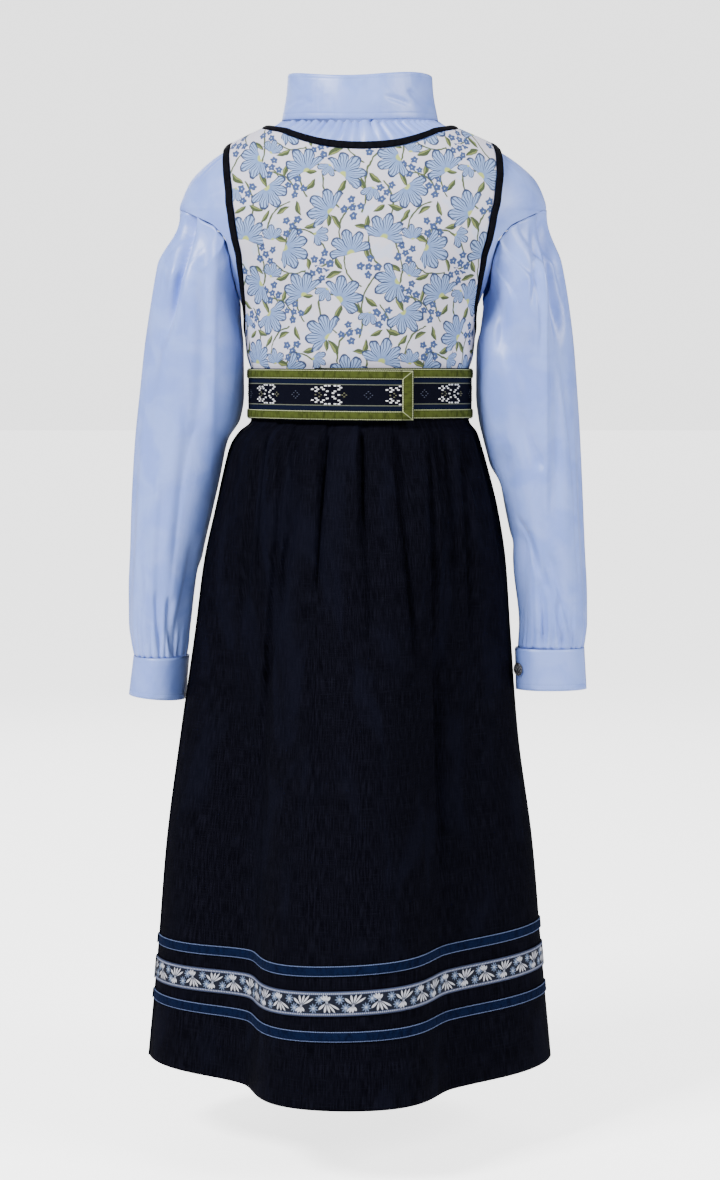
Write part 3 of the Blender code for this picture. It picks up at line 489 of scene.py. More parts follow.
def flat_ruler(along, up):
    """Flat coordinates of a grid, from the places of its columns and of its rows."""
    return np.stack(np.broadcast_arrays(along[None, :], up[:, None]), -1)


def collar_grid(turned, share):
    """Points of the collar, by the turn from its inner end and the share of its height."""
    turn = np.radians(270.0 - COLLAR_LAP / 2 + turned)
    tall = COLLAR_HEIGHT - 0.0010 * np.cos(turn) ** 2 + 0.0015 * np.sin(3 * turn + 0.7)
    half_x, half_y, dent = (through(COLLAR_LEVELS, k, share) for k in (1, 2, 3))
    height = COLLAR_FOOT + COLLAR_RISE * np.cos(turn) ** 2 + tall * share
    out = lap(turned, COLLAR_LIFT) + dent * np.cos(2 * turn)
    point = np.stack((half_x * np.cos(turn), half_y * np.sin(turn), height), -1)
    return point + oval_side(turn, half_x, half_y) * out[..., None]


def so_far(material):
    """A finished material's shader and bump, its ruler's axes, and its tone and height so far."""
    nodes = material.node_tree.nodes
    shader = nodes["Principled BSDF"]
    bump = shader.inputs["Normal"].links[0].from_node
    tone = Value(shader.inputs["Base Color"].links[0].from_socket)
    height = Value(bump.inputs["Height"].links[0].from_socket)
    return shader, bump, axes(Value(nodes["UV Map"].outputs[0])), tone, height


share, turned = np.meshgrid(np.linspace(1, 0, 26), np.linspace(0, 360 + COLLAR_LAP, 190),
                            indexing="ij")
COLLAR_RIPPLES = [  # from x, z to x, z, width, depth, share of the width on the upper flank
    (0.0640, 0.0225, 0.0440, 0.0285, 0.0030, 0.0014, 0.5),
    (0.0560, 0.0190, 0.0400, 0.0250, 0.0020, 0.0009, 0.6),
    (0.0130, 0.0400, -0.0170, 0.0280, 0.0060, 0.0017, 0.7),
    (-0.0020, 0.0500, -0.0110, 0.0340, 0.0060, 0.0012, 0.7),
    (-0.0220, 0.0290, -0.0430, 0.0205, 0.0026, 0.0013, 0.5),
    (-0.0410, 0.0340, -0.0610, 0.0190, 0.0030, 0.0016, 0.5),
]
grid = collar_grid(turned, share)
out = unit(np.stack((grid[..., 0], grid[..., 1], 0 * share), -1))
grid = grid - out * (creased(grid[..., [0, 2]], COLLAR_RIPPLES) * ease(0.05, 0.25, share)
                     * ease(0.0, 0.02, np.abs(grid[..., 1])))[..., None]
ruler = flat_ruler(run_along(grid), share[:, 0] * COLLAR_HEIGHT)
stitched_satin = satin.copy()
stitched_satin.name = "stitched_satin"
shader, bump, parts, tone, height = so_far(stitched_satin)
for line in (0.0012, 0.0052, COLLAR_HEIGHT - 0.0034):
    row = place_group(stitch_row, Along=parts[0], Across=parts[1] - line, Length=0.0024)
    tone = blend(row["Thread"] * 0.55, tone, (0.14, 0.22, 0.52))
    height = height - row["Dip"] * 0.16
join(tone, shader.inputs["Base Color"])
join(height, bump.inputs["Height"])
collar = sew("collar", [grid], [ruler], COLLAR_WALL, stitched_satin, "shirt_collar")


# Sleeves. One full piece of satin each, pleated into the low shoulder seam and gathered into
# the cuff. The pleats hang as soft folds, and the cloth crumples above the wrist.

LEFT_SLEEVE = [  # height, outer reach, inner reach, middle, half depth
    (-0.0640, 0.1590, 0.1030, 0.0000, 0.0500),
    (-0.0800, 0.1665, 0.1035, 0.0000, 0.0510),
    (-0.0990, 0.1738, 0.1038, 0.0000, 0.0520),
    (-0.1400, 0.1822, 0.1034, 0.0000, 0.0530),
    (-0.1820, 0.1882, 0.1016, -0.0010, 0.0520),
    (-0.2240, 0.1932, 0.1014, -0.0030, 0.0495),
    (-0.2450, 0.1957, 0.1046, -0.0040, 0.0480),
    (-0.2640, 0.1977, 0.1156, -0.0055, 0.0465),
    (-0.2850, 0.1993, 0.1210, -0.0065, 0.0450),
    (-0.3200, 0.2014, 0.1282, -0.0080, 0.0430),
    (-0.3600, 0.2030, 0.1372, -0.0100, 0.0405),
    (-0.4000, 0.2048, 0.1440, -0.0120, 0.0380),
    (-0.4250, 0.2048, 0.1474, -0.0130, 0.0360),
    (-0.4430, 0.2028, 0.1500, -0.0130, 0.0335),
    (-0.4545, 0.2005, 0.1524, -0.0120, 0.0305),
]
RIGHT_SLEEVE = [
    (-0.0640, 0.1625, 0.1030, 0.0000, 0.0500),
    (-0.0800, 0.1684, 0.1035, 0.0000, 0.0510),
    (-0.0990, 0.1732, 0.1038, 0.0000, 0.0520),
    (-0.1400, 0.1812, 0.1034, 0.0000, 0.0530),
    (-0.1820, 0.1868, 0.1016, 0.0000, 0.0520),
    (-0.2240, 0.1904, 0.1014, 0.0000, 0.0495),
    (-0.2450, 0.1920, 0.1036, 0.0000, 0.0480),
    (-0.2640, 0.1931, 0.1080, 0.0005, 0.0460),
    (-0.2850, 0.1942, 0.1135, 0.0010, 0.0440),
    (-0.3200, 0.1958, 0.1222, 0.0020, 0.0410),
    (-0.3600, 0.1976, 0.1292, 0.0030, 0.0375),
    (-0.4000, 0.1996, 0.1332, 0.0040, 0.0340),
    (-0.4250, 0.1998, 0.1350, 0.0050, 0.0315),
    (-0.4350, 0.1988, 0.1358, 0.0055, 0.0285),
    (-0.4455, 0.1972, 0.1366, 0.0060, 0.0250),
]
WRIST_GATHERS = 22
WRIST_SPACING = 16.4  # degrees between two gathers
MAIN_FOLDS = [  # angle, width, depth, start, end
    (42.0, 13.0, 0.0050, 0.02, 0.42),
    (78.0, 15.0, 0.0030, 0.10, 0.60),
    (20.0, 14.0, 0.0030, 0.40, 0.95),
    (318.0, 14.0, 0.0045, 0.02, 0.45),
    (282.0, 15.0, 0.0030, 0.20, 0.70),
]


def sleeve_head(turned, mirror):
    """The sleeve's seam: 0 at the shoulder tip, 90 behind, 180 at the underarm."""
    place = np.where(turned <= 180.0, turned, 360.0 - turned) / 180.0 * (len(SLEEVE_SEAM) - 1)
    seam = np.array(SLEEVE_SEAM)
    knots = np.arange(len(seam))
    height = np.interp(place, knots, seam[:, 0])
    angle = np.interp(place, knots, seam[:, 1]) * np.where(turned <= 180.0, 1.0, -1.0)
    point = body_side(angle if mirror > 0 else 180.0 - angle, height)
    point[..., 0] *= mirror
    return point


def sleeve_grid(table, mirror, turned, level):
    """Points and outward directions of a sleeve, as a left one, by turn and share of its length."""
    head = sleeve_head(turned, mirror)
    top = head[..., 2] - 0.0004
    height = top + (table[-1][0] - top) * level
    turn = np.radians(turned)
    outer, inner = through(table, 1, height), through(table, 2, height)
    half_x, half_y = (outer - inner) / 2, through(table, 4, height)
    oval = np.stack((outer - half_x + half_x * np.cos(turn),
                     through(table, 3, height) + half_y * np.sin(turn), height), -1)
    side = oval_side(turn, half_x, half_y)
    start = np.stack((head[..., 0] + 0.0005, head[..., 1], height), -1)
    away = ease(0.0, 0.12, level)
    point = start + (oval - start) * away[..., None]
    for angle, width, depth, first, last in MAIN_FOLDS:
        near = np.exp(-((turned - angle) / width) ** 2)
        along = np.exp(-((level - (first + last) / 2) / (last - first) * 2.2) ** 2)
        point = point - side * (depth * near * along * away)[..., None]
    return point, side


def make_sleeve(side, table, mirror, seed, folds, behind):
    """A sleeve with its pleats, its gathers at the wrist, and the creases seen from behind.

    In front the same creases lie a little lower and farther in.
    """
    before = [(x1 - 0.006 * mirror, z1 - 0.02, x2 - 0.004 * mirror, z2 - 0.01, width, depth, sharp)
              for x1, z1, x2, z2, width, depth, sharp in behind]
    columns, rows = 220, 130
    level, turned = np.meshgrid(np.linspace(0, 1, rows), 180.0 + np.linspace(0, 360, columns + 1),
                                indexing="ij")
    turned = turned % 360.0
    grid, outward = sleeve_grid(table, mirror, turned, level)
    random = np.random.default_rng(seed)
    push = np.zeros(level.shape)
    for k in range(WRIST_GATHERS):
        centre = WRIST_SPACING * (k + 0.5) + random.uniform(-3.5, 3.5)
        wide = random.uniform(2.6, 4.4)
        deep = random.uniform(0.0011, 0.0020)
        reach = random.uniform(0.045, 0.13)
        gap = (turned - centre + 180.0) % 360.0 - 180.0
        push += deep * np.exp(-(gap / wide) ** 2) * np.exp(-((1 - level) / reach) ** 2)
    for angle, wide, deep, first, last in folds:
        gap = (turned - angle + 180.0) % 360.0 - 180.0
        fade = ease(first - 0.03, first + 0.03, level) * (1 - ease(last - 0.10, last + 0.02, level))
        wander = 1.5 * np.sin(level * 17.0 + angle)
        flank = np.where(gap + wander > 0, wide * 0.6, wide * 1.5)
        push += deep * fade * np.exp(-((gap + wander) / flank) ** 2)
    grid = grid - outward * push[..., None]
    grid[..., 0] *= mirror
    at_back = ease(0.0, 0.35, np.sin(np.radians(turned)))
    place = grid[..., [0, 2]]
    pressed = creased(place, behind) * at_back + creased(place, before) * (1 - at_back)
    grid = grid - outward * (mirror, 1.0, 1.0) * pressed[..., None]
    if mirror < 0:
        grid = grid[:, ::-1]
    around = np.linspace(-0.13, 0.13, columns + 1)
    ruler = np.stack(np.broadcast_arrays(around[None, :], grid[..., 2]), -1)
    return sew(side + "_sleeve", [grid], [ruler], SATIN_THICKNESS, satin,
               "sleeve_" + side)


LEFT_FOLDS = [  # angle, width, depth, start, end
    (60.0, 6.0, 0.0009, 0.00, 0.20),
    (30.0, 6.0, 0.0012, 0.00, 0.22),
    (120.0, 7.0, 0.0008, 0.02, 0.20),
    (8.0, 6.0, 0.0020, 0.00, 0.28),
    (335.0, 5.0, 0.0022, 0.00, 0.30),
    (300.0, 5.0, 0.0024, 0.00, 0.33),
    (262.0, 6.0, 0.0018, 0.00, 0.28),
    (105.0, 8.0, 0.0012, 0.40, 0.86),
    (62.0, 8.0, 0.0012, 0.46, 0.94),
    (250.0, 7.0, 0.0016, 0.42, 0.90),
]
RIGHT_FOLDS = [
    (48.0, 5.0, 0.0028, 0.00, 0.27),
    (74.0, 5.0, 0.0022, 0.02, 0.32),
    (102.0, 6.0, 0.0020, 0.00, 0.30),
    (25.0, 5.0, 0.0022, 0.00, 0.22),
    (128.0, 6.0, 0.0018, 0.02, 0.24),
    (340.0, 5.0, 0.0024, 0.00, 0.30),
    (304.0, 5.0, 0.0026, 0.00, 0.33),
    (268.0, 6.0, 0.0020, 0.00, 0.28),
    (42.0, 4.0, 0.0018, 0.36, 0.86),
    (100.0, 7.0, 0.0015, 0.44, 0.92),
    (256.0, 7.0, 0.0016, 0.42, 0.90),
]
LEFT_CREASES = [  # from x, z to x, z, width, depth, share of the width on the far flank
    (0.1460, -0.064, 0.1690, -0.184, 0.0048, 0.0105, 0.60),
    (0.1230, -0.090, 0.1310, -0.300, 0.0036, -0.0032, 1.60),
    (0.1310, -0.086, 0.1400, -0.290, 0.0090, 0.0034, 0.80),
    (0.1790, -0.150, 0.1890, -0.330, 0.0100, 0.0026, 0.70),
    (0.1500, -0.220, 0.1560, -0.400, 0.0110, 0.0030, 0.60),
    (0.1700, -0.300, 0.1780, -0.450, 0.0090, 0.0032, 0.60),
    (0.1450, -0.350, 0.1620, -0.452, 0.0060, 0.0030, 0.60),
    (0.1900, -0.340, 0.1860, -0.452, 0.0055, 0.0028, 0.60),
    (0.1660, -0.400, 0.1640, -0.455, 0.0045, 0.0030, 0.60),
    (0.1780, -0.395, 0.1760, -0.455, 0.0040, 0.0026, 0.60),
]
RIGHT_CREASES = [
    (-0.1610, -0.064, -0.1730, -0.174, 0.0042, 0.0095, 1.50),
    (-0.1500, -0.080, -0.1480, -0.150, 0.0045, 0.0036, 0.60),
    (-0.1585, -0.100, -0.1600, -0.330, 0.0032, -0.0030, 1.40),
    (-0.1690, -0.150, -0.1680, -0.350, 0.0060, 0.0036, 1.50),
    (-0.1080, -0.120, -0.1400, -0.225, 0.0125, 0.0052, 0.60),
    (-0.1400, -0.170, -0.1440, -0.262, 0.0110, 0.0034, 0.70),
    (-0.1180, -0.270, -0.1380, -0.375, 0.0100, 0.0056, 0.60),
    (-0.1340, -0.340, -0.1430, -0.444, 0.0085, 0.0056, 0.55),
    (-0.1560, -0.290, -0.1380, -0.240, 0.0080, 0.0034, 0.60),
    (-0.1320, -0.330, -0.1680, -0.400, 0.0050, 0.0034, 0.60),
    (-0.1640, -0.360, -0.1860, -0.442, 0.0050, 0.0034, 0.60),
    (-0.1560, -0.385, -0.1580, -0.446, 0.0040, 0.0034, 0.60),
    (-0.1720, -0.400, -0.1740, -0.446, 0.0036, 0.0030, 0.60),
]
left_sleeve = make_sleeve("left", LEFT_SLEEVE, 1, 11, LEFT_FOLDS, LEFT_CREASES)
right_sleeve = make_sleeve("right", RIGHT_SLEEVE, -1, 12, RIGHT_FOLDS, RIGHT_CREASES)


# Cuffs. Straight satin bands of two layers, edge-stitched, sewn to the gathered sleeves. The
# ends lap and are buttoned.

CUFFS = {  # start, tilt, lean
    "left": (208.0, 0.09, 0.0038),
    "right": (132.0, 0.0, 0.0016),
}
CUFF_HEIGHT = 0.0362
CUFF_OVERLAP = 34.0
CUFF_WALL = 0.0015
CUFF_LIFT = CUFF_WALL + 0.0005
SEAM_GAP = 0.0003


def cuff_grid(side, turned, share):
    """Points of a cuff, by the turn from its inner end and the share of its height."""
    table = LEFT_SLEEVE if side == "left" else RIGHT_SLEEVE
    top, outer, inner, middle, half_y = table[-1]
    start, tilt, lean = CUFFS[side]
    half_x = (outer - inner) / 2
    angle = start + turned
    lifted = lap(turned, CUFF_LIFT) + 0.0006 * share
    height = top - SEAM_GAP - CUFF_HEIGHT * share + tilt * half_x * np.cos(np.radians(angle)) * share
    grid = band((0, middle), half_x, half_y, angle, height, lifted)
    grid[..., 0] += (outer + inner) / 2 + lean * share
    if side == "right":
        grid[..., 0] *= -1
        grid = grid[:, ::-1]
    return grid


for side in ("left", "right"):
    share, turned = np.meshgrid(np.linspace(0, 1, 20), np.linspace(0, 360 + CUFF_OVERLAP, 110),
                                indexing="ij")
    grid = cuff_grid(side, turned, share)
    ruler = flat_ruler(run_along(grid), (1 - share[:, 0]) * CUFF_HEIGHT)
    cuff = sew(side + "_cuff", [grid], [ruler], CUFF_WALL, stitched_satin,
               "cuff_" + side)
    side + "_sleeve"
    "cuff_button_" + side


# Bodice. Printed cloth, lined, in a back and two fronts that meet edge to edge, shaped by two
# darts behind. It is sewn to the skirt at the waist, under the belt.

BODICE_OUT = 0.0033
BODICE_CLOTH = 0.0014
BINDING_WIDTH = 0.0065
BINDING_GAP = 0.0012
WAIST_SEAM = -0.2225
ARMHOLE = [  # height, angle behind or in front of the side line
    (-0.0150, 12.0),
    (-0.0220, 25.0),
    (-0.0340, 35.0),
    (-0.0480, 40.5),
    (-0.0640, 43.5),
    (-0.0800, 44.0),
    (-0.0970, 40.5),
    (-0.1160, 31.5),
    (-0.1350, 21.5),
    (-0.1500, 14.0),
    (-0.1620, 7.5),
]
ARMHOLE_TOP = -0.0122
ARMHOLE_FOOT = -0.1690
NECK_BACK = [  # height, distance from the middle
    (0.0010, 0.0660),
    (-0.0030, 0.0550),
    (-0.0068, 0.0430),
    (-0.0098, 0.0300),
    (-0.0116, 0.0155),
    (-0.0122, 0.0000),
]
NECK_FRONT = [
    (-0.0020, 0.0690),
    (-0.0130, 0.0610),
    (-0.0250, 0.0500),
    (-0.0350, 0.0365),
    (-0.0420, 0.0200),
    (-0.0450, 0.0000),
]
NECK_TOP = 0.0052


def even_curve(knots, count, closed):
    """Points (angle, height) spread evenly along a smooth curve through the given ones."""
    knots = np.array(knots)
    total = len(knots)
    ends = np.arange(total if closed else total - 1)
    around = [(ends + k) % total if closed else np.clip(ends + k, 0, total - 1) for k in (-1, 0, 1, 2)]
    a, b, c, d = (knots[index][:, None, :] for index in around)
    t = (np.arange(12) / 12)[None, :, None]
    fine = 0.5 * (2 * b + (c - a) * t + (2 * a - 5 * b + 4 * c - d) * t**2
                  + (3 * b - a - 3 * c + d) * t**3)
    fine = np.concatenate((fine.reshape(-1, 2), knots[:1] if closed else knots[-1:]))
    step = np.linalg.norm(np.diff(body_side(fine[:, 0], fine[:, 1]), axis=0), axis=1)
    run = running(step)
    stops = run[-1] * np.arange(count if closed else count + 1) / count
    return np.stack((np.interp(stops, run, fine[:, 0]), np.interp(stops, run, fine[:, 1])), -1)


def aside(curve, distance, closed):
    """The same curve on the body, moved to its right-hand side as seen from outside."""
    if closed:
        before, after = np.roll(curve, 1, 0), np.roll(curve, -1, 0)
    else:
        before = np.concatenate((curve[:1], curve[:-1]))
        after = np.concatenate((curve[1:], curve[-1:]))
    along = body_side(*after.T) - body_side(*before.T)
    around, upward = body_slopes(*curve.T)
    way = unit(np.cross(along, unit(np.cross(around, upward)))) * distance
    a, b, c = (around * around).sum(-1), (around * upward).sum(-1), (upward * upward).sum(-1)
    p, q = (around * way).sum(-1), (upward * way).sum(-1)
    share = a * c - b * b
    return curve + np.stack(((p * c - q * b) / share, (q * a - p * b) / share), -1)


back_edge = [(0.0, ARMHOLE_TOP)] + [(a, z) for z, a in ARMHOLE] + [(0.0, ARMHOLE_FOOT)]
armhole_edge = even_curve(back_edge + [(-a, z) for a, z in back_edge[-2:0:-1]], 120, True)


def neck_points(table):
    """Angle and height of points that are given by their distance from the middle."""
    return [(90.0 - math.degrees(math.asin(x / float(through(SHIRT_BODY, 2, z)))), z) for z, x in table]


left_edge = [(-a, z) for a, z in neck_points(NECK_FRONT)][::-1] + [(0.0, NECK_TOP)]
left_edge += neck_points(NECK_BACK)
neck_edge = even_curve(left_edge + [(180.0 - a, z) for a, z in left_edge[-2::-1]], 176, False)
armhole_seam = aside(armhole_edge, -BINDING_WIDTH - BINDING_GAP, True)
neck_seam = aside(neck_edge, BINDING_WIDTH + BINDING_GAP, False)


def half_of(curve, way):
    """The left part of an edge, behind or in front, from its foot to its top."""
    part = curve[(curve[:, 0] * way > -1.0) & (abs(curve[:, 0]) <= 90.5)]
    part = np.stack((np.abs(part[:, 0]), part[:, 1]), -1)
    part[:, 0] = np.where(part[:, 0] < 1.0, 0.0, part[:, 0])
    return part[np.argsort(part[:, 1])]


def bodice_quarter(way, gap):
    """Angles from the side line, and heights, of a quarter of the bodice."""
    outer, inner = half_of(armhole_seam, way), half_of(neck_seam, way)
    corner = inner[np.argmin(inner[:, 0]), 1]
    low = inner[0, 1]
    levels = np.linspace(low, -0.1765, 64)
    heights = np.unique(np.concatenate((outer[:, 1], inner[:, 1], [low], levels)))
    heights = heights[heights < corner - 0.0002][::-1]
    keep = [heights[0]]
    for height in heights[1:]:
        if keep[-1] - height > 0.0005:
            keep.append(height)
    heights = np.array([corner - 0.0001] + keep + list(np.linspace(-0.180, WAIST_SEAM, 22)))
    heights[np.argmin(abs(heights - low))] = low
    start = np.interp(heights, outer[:, 1], outer[:, 0], left=SEAM_CLEARANCE, right=SEAM_CLEARANCE)
    start = np.maximum(start, SEAM_CLEARANCE)
    end = np.where(heights > low + 1e-7, np.interp(heights, inner[:, 1], inner[:, 0]), 90.0 - gap)
    share = np.linspace(0, 1, 60)
    angle = start[:, None] + (end - start)[:, None] * share
    return angle, np.repeat(heights[:, None], len(share), 1)


def bodice_sheet(name, node, quarters, darts=()):
    """A bodice piece of one or two quarters, with darts pressed in."""
    patches = []
    rulers = []
    for angle, height, place in quarters:
        turned = place(angle)
        if turned[0, 0] > turned[0, -1]:
            turned, height = turned[:, ::-1], height[:, ::-1]
        grid = off_body(turned, height, np.full(turned.shape, BODICE_OUT))
        ruler = body_ruler(turned, height)
        grid = grid - facing(grid) * creased(grid[..., [0, 2]], darts)[..., None]
        patches.append(grid)
        rulers.append(ruler)
    return sew(name, patches, rulers, BODICE_CLOTH, printed, node)


# The print is a free design: fanned blossoms, sprigs of small flowers and two-toned leaves on
# thin stems, strewn over a pale ground and repeated as on a roll.

REPEAT = (0.118, 0.104)
BLOSSOMS = [  # across, up, turn in degrees, length, how far open
    (0.013, 0.018, 75.0, 0.0215, 0.52),
    (0.056, 0.010, 200.0, 0.0225, 0.50),
    (0.099, 0.031, 105.0, 0.0220, 0.54),
    (0.037, 0.049, 35.0, 0.0230, 0.48),
    (0.078, 0.056, -125.0, 0.0215, 0.52),
    (0.012, 0.081, 135.0, 0.0225, 0.54),
    (0.054, 0.087, 60.0, 0.0220, 0.50),
    (0.098, 0.085, -25.0, 0.0215, 0.52),
    (0.034, 0.022, 205.0, 0.0135, 0.36),
    (0.078, 0.028, 85.0, 0.0140, 0.38),
    (0.114, 0.056, -70.0, 0.0135, 0.34),
    (0.033, 0.077, -60.0, 0.0125, 0.36),
    (0.077, 0.101, 110.0, 0.0135, 0.38),
]
SPRIGS = [  # across, up, turn, spread
    (0.034, 0.002, 15.0, 0.0076),
    (0.083, 0.009, 60.0, 0.0074),
    (0.060, 0.031, 40.0, 0.0078),
    (0.010, 0.046, 80.0, 0.0076),
    (0.058, 0.064, 10.0, 0.0074),
    (0.100, 0.059, 35.0, 0.0078),
    (0.036, 0.098, 70.0, 0.0070),
    (0.079, 0.081, 20.0, 0.0074),
    (0.113, 0.101, 95.0, 0.0076),
]
LEAVES = [  # across, up, turn, length
    [(0.024, 0.034, 55.0, 0.0150), (0.070, 0.020, 20.0, 0.0135), (0.092, 0.047, 200.0, 0.0140),
     (0.020, 0.064, 120.0, 0.0145), (0.055, 0.046, 250.0, 0.0130), (0.087, 0.070, 60.0, 0.0150),
     (0.116, 0.008, 75.0, 0.0140), (0.068, 0.094, 160.0, 0.0140)],
    [(0.044, 0.032, 160.0, 0.0140), (0.116, 0.034, 100.0, 0.0135), (0.068, 0.044, -30.0, 0.0130),
     (0.024, 0.094, -20.0, 0.0150), (0.046, 0.066, 130.0, 0.0135), (0.110, 0.072, 220.0, 0.0145),
     (0.092, 0.100, 30.0, 0.0135), (0.020, 0.000, 240.0, 0.0130)],
    [(0.002, 0.030, 10.0, 0.0125), (0.046, 0.000, 75.0, 0.0120), (0.084, 0.040, 130.0, 0.0125),
     (0.046, 0.078, 190.0, 0.0120), (0.004, 0.066, 55.0, 0.0125), (0.068, 0.078, 100.0, 0.0120),
     (0.106, 0.046, 150.0, 0.0125), (0.030, 0.036, 85.0, 0.0115)],
]
STEMS = [  # across, up, turn, length, bow
    [(0.014, 0.034, -70.0, 0.034, 0.16), (0.060, 0.022, 110.0, 0.032, -0.14),
     (0.100, 0.052, 80.0, 0.036, 0.15), (0.050, 0.072, -95.0, 0.034, 0.14),
     (0.008, 0.098, 60.0, 0.032, -0.16), (0.090, 0.094, 100.0, 0.032, 0.14)],
    [(0.044, 0.018, 40.0, 0.036, 0.18), (0.086, 0.022, 95.0, 0.034, -0.15),
     (0.028, 0.062, 65.0, 0.036, -0.16), (0.070, 0.066, 40.0, 0.034, 0.20),
     (0.112, 0.078, 110.0, 0.036, -0.12), (0.062, 0.102, 15.0, 0.030, -0.18)],
    [(0.004, 0.058, 85.0, 0.034, 0.14), (0.072, 0.040, -50.0, 0.032, 0.16),
     (0.028, 0.008, 130.0, 0.032, 0.16), (0.036, 0.088, -140.0, 0.034, 0.16),
     (0.108, 0.012, 70.0, 0.034, -0.14), (0.084, 0.078, 30.0, 0.030, 0.14)],
]


def on_vectors(operation, inputs):
    """One step of arithmetic on vectors."""
    made = put(tree_of(inputs.values()), "ShaderNodeVectorMath", inputs, operation=operation)
    return Value(made.outputs["Value" if operation == "LENGTH" else "Vector"])


# Which of two like motifs lies nearer on the repeated ruler: its place, in its own size, and its turn
nearer, given, result = group(
    "nearer_motif", ["Ruler", "Spot", "Size", "Turn", "Best Place", "Best Turn"], ["Place", "Turn"],
    ["Ruler", "Spot", "Turn", "Best Place", "Best Turn", "Place"])
half_repeat = (REPEAT[0] / 2, REPEAT[1] / 2, 1.0)
moved = on_vectors("SUBTRACT", {0: given["Ruler"], 1: given["Spot"]})
wrapped = on_vectors("WRAP", {0: moved, 1: half_repeat, 2: tuple(-v for v in half_repeat)})
scaled = on_vectors("SCALE", {0: wrapped, "Scale": 1.0 / given["Size"]})
closer = work("LESS_THAN", on_vectors("LENGTH", {0: scaled}),
              on_vectors("LENGTH", {0: given["Best Place"]}))
for key, new in (("Place", scaled), ("Turn", given["Turn"])):
    chosen = put(nearer, "ShaderNodeMix", {0: closer, 4: given["Best " + key], 5: new},
                 data_type="VECTOR")
    join(chosen.outputs[1], result.inputs[key])


def nearest(ruler, motifs):
    """The place on the nearest of several like motifs, turned upright, and its own figure."""
    place, turn = (9.0, 9.0, 0.0), (0.0, 0.0, 0.0)
    for x, y, degrees, size, own in motifs:
        place, turn = place_group(nearer, Ruler=ruler, Spot=(x, y, 0.0), Size=size,
                                  Turn=(-math.radians(degrees), own, 0.0), Best_Place=place,
                                  Best_Turn=turn).values()
    angle, own = axes(turn)[:2]
    upright = put(tree_of([place]), "ShaderNodeVectorRotate", {"Vector": place, "Angle": angle},
                  rotation_type="Z_AXIS")
    x, y = axes(Value(upright.outputs[0]))[:2]
    return x, y, own


def motif(name, given):
    """A group for one motif: its inputs are the place across and up, and its own figure."""
    tree, inputs, result = group(name, ["Across", "Up", "Own"], given)
    return tree, *inputs.values(), result


# A blossom: petals fanned out from a heart, drawn with an outline and fine veins
blossom, x, y, opened, result = motif("blossom", ["Petal", "Line", "Heart", "Deep"])
reach, turn = polar(x, y)
sector = work("FRACT", turn * (9 / (2 * math.pi)) + 0.5)
off = abs(sector * 2.0 - 1.0)
edge = (work("POWER", off, 2.2) * -0.32 + 1.0) * (abs(turn) * -0.1 + 0.98)
fan = opened * math.pi
inside = between(fan - abs(turn), -0.03, 0.03)
room = edge - reach
rim = between(room, 0.1, 0.06)
split = between(off, 0.84, 0.93) * between(reach, 0.18, 0.35)
veins = work("COSINE", turn * 36.0)
veins = between(veins, 0.2, 0.75, 0.0, 0.85) * between(reach, 0.25, 0.45)
side = between(fan - abs(turn), 0.1, 0.04)
line = work("MAXIMUM", work("MAXIMUM", rim, split), work("MAXIMUM", veins, side))
join(between(room, -0.01, 0.02) * inside, result.inputs["Petal"])
join(line, result.inputs["Line"])
join(between(reach, 0.17, 0.1), result.inputs["Heart"])
join(between(reach, 0.55, 0.12), result.inputs["Deep"])

# A sprig: four small flowers of five petals round a fifth
sprig, x, y, own, result = motif("sprig", ["Petal", "Heart"])
reach, turn = polar(x, y)
quarter = work("SNAP", turn + math.pi / 4, math.pi / 2)
off = turn - quarter
middle = work("LESS_THAN", reach, 0.46)
right = (1.0 - middle) * -0.92 + reach * work("COSINE", off)
up = reach * work("SINE", off)
out, petal_turn = polar(right, up)
edge = work("COSINE", petal_turn * 5.0 + quarter) * 0.065 + 0.39
join(between(edge - out, -0.03, 0.03), result.inputs["Petal"])
join(between(out, 0.1, 0.05), result.inputs["Heart"])

# A leaf: pointed at both ends, with a midrib and one darker half
leaf, x, y, wide, result = motif("leaf", ["Blade", "Line", "Shade"])
belly = x * x * -4.0 + 1.0
side = y - belly * 0.07
room = belly * wide - abs(side)
join(between(room, -0.01, 0.02), result.inputs["Blade"])
rib = work("MAXIMUM", between(abs(side), 0.035, 0.012), between(room, 0.05, 0.02))
join(rib, result.inputs["Line"])
join(between(side, -0.02, 0.02), result.inputs["Shade"])

# A stem: a thin bowed line
stem, x, y, bow, result = motif("stem", ["Line"])
arch = work("COSINE", x * math.pi) * bow
away = abs(y - arch)
length = between(abs(x), 0.5, 0.47)
join(between(away, 0.03, 0.016) * length, result.inputs["Line"])

printed, shader, ruler = new_cloth("printed_bodice_cloth", 0.85, Specular_IOR_Level=0.15)
wander = put(printed.node_tree, "ShaderNodeTexNoise", {"Vector": ruler, "Scale": 150.0, "Detail": 1.0})
wavy = on_vectors("SCALE", {0: Value(wander.outputs["Color"]), "Scale": 0.003})
drawn_on = on_vectors("ADD", {0: ruler, 1: wavy})
wash = rough_noise(ruler, 62.0, 1.0, 0.3)
tone = blend(between(wash, 0.57, 0.66, 0.0, 0.45), (0.545, 0.525, 0.61), (0.4, 0.5, 0.72))
for stems in STEMS:
    x, y, own = nearest(drawn_on, stems)
    drawn = place_group(stem, Across=x, Up=y, Own=own)
    tone = blend(drawn["Line"], tone, (0.06, 0.082, 0.022))
for leaves in LEAVES:
    x, y, own = nearest(drawn_on, [(*item, 0.17) for item in leaves])
    drawn = place_group(leaf, Across=x, Up=y, Own=own)
    green = blend(drawn["Shade"], (0.15, 0.18, 0.045), (0.042, 0.06, 0.012))
    green = blend(drawn["Line"], green, (0.03, 0.048, 0.012))
    tone = blend(drawn["Blade"], tone, green)
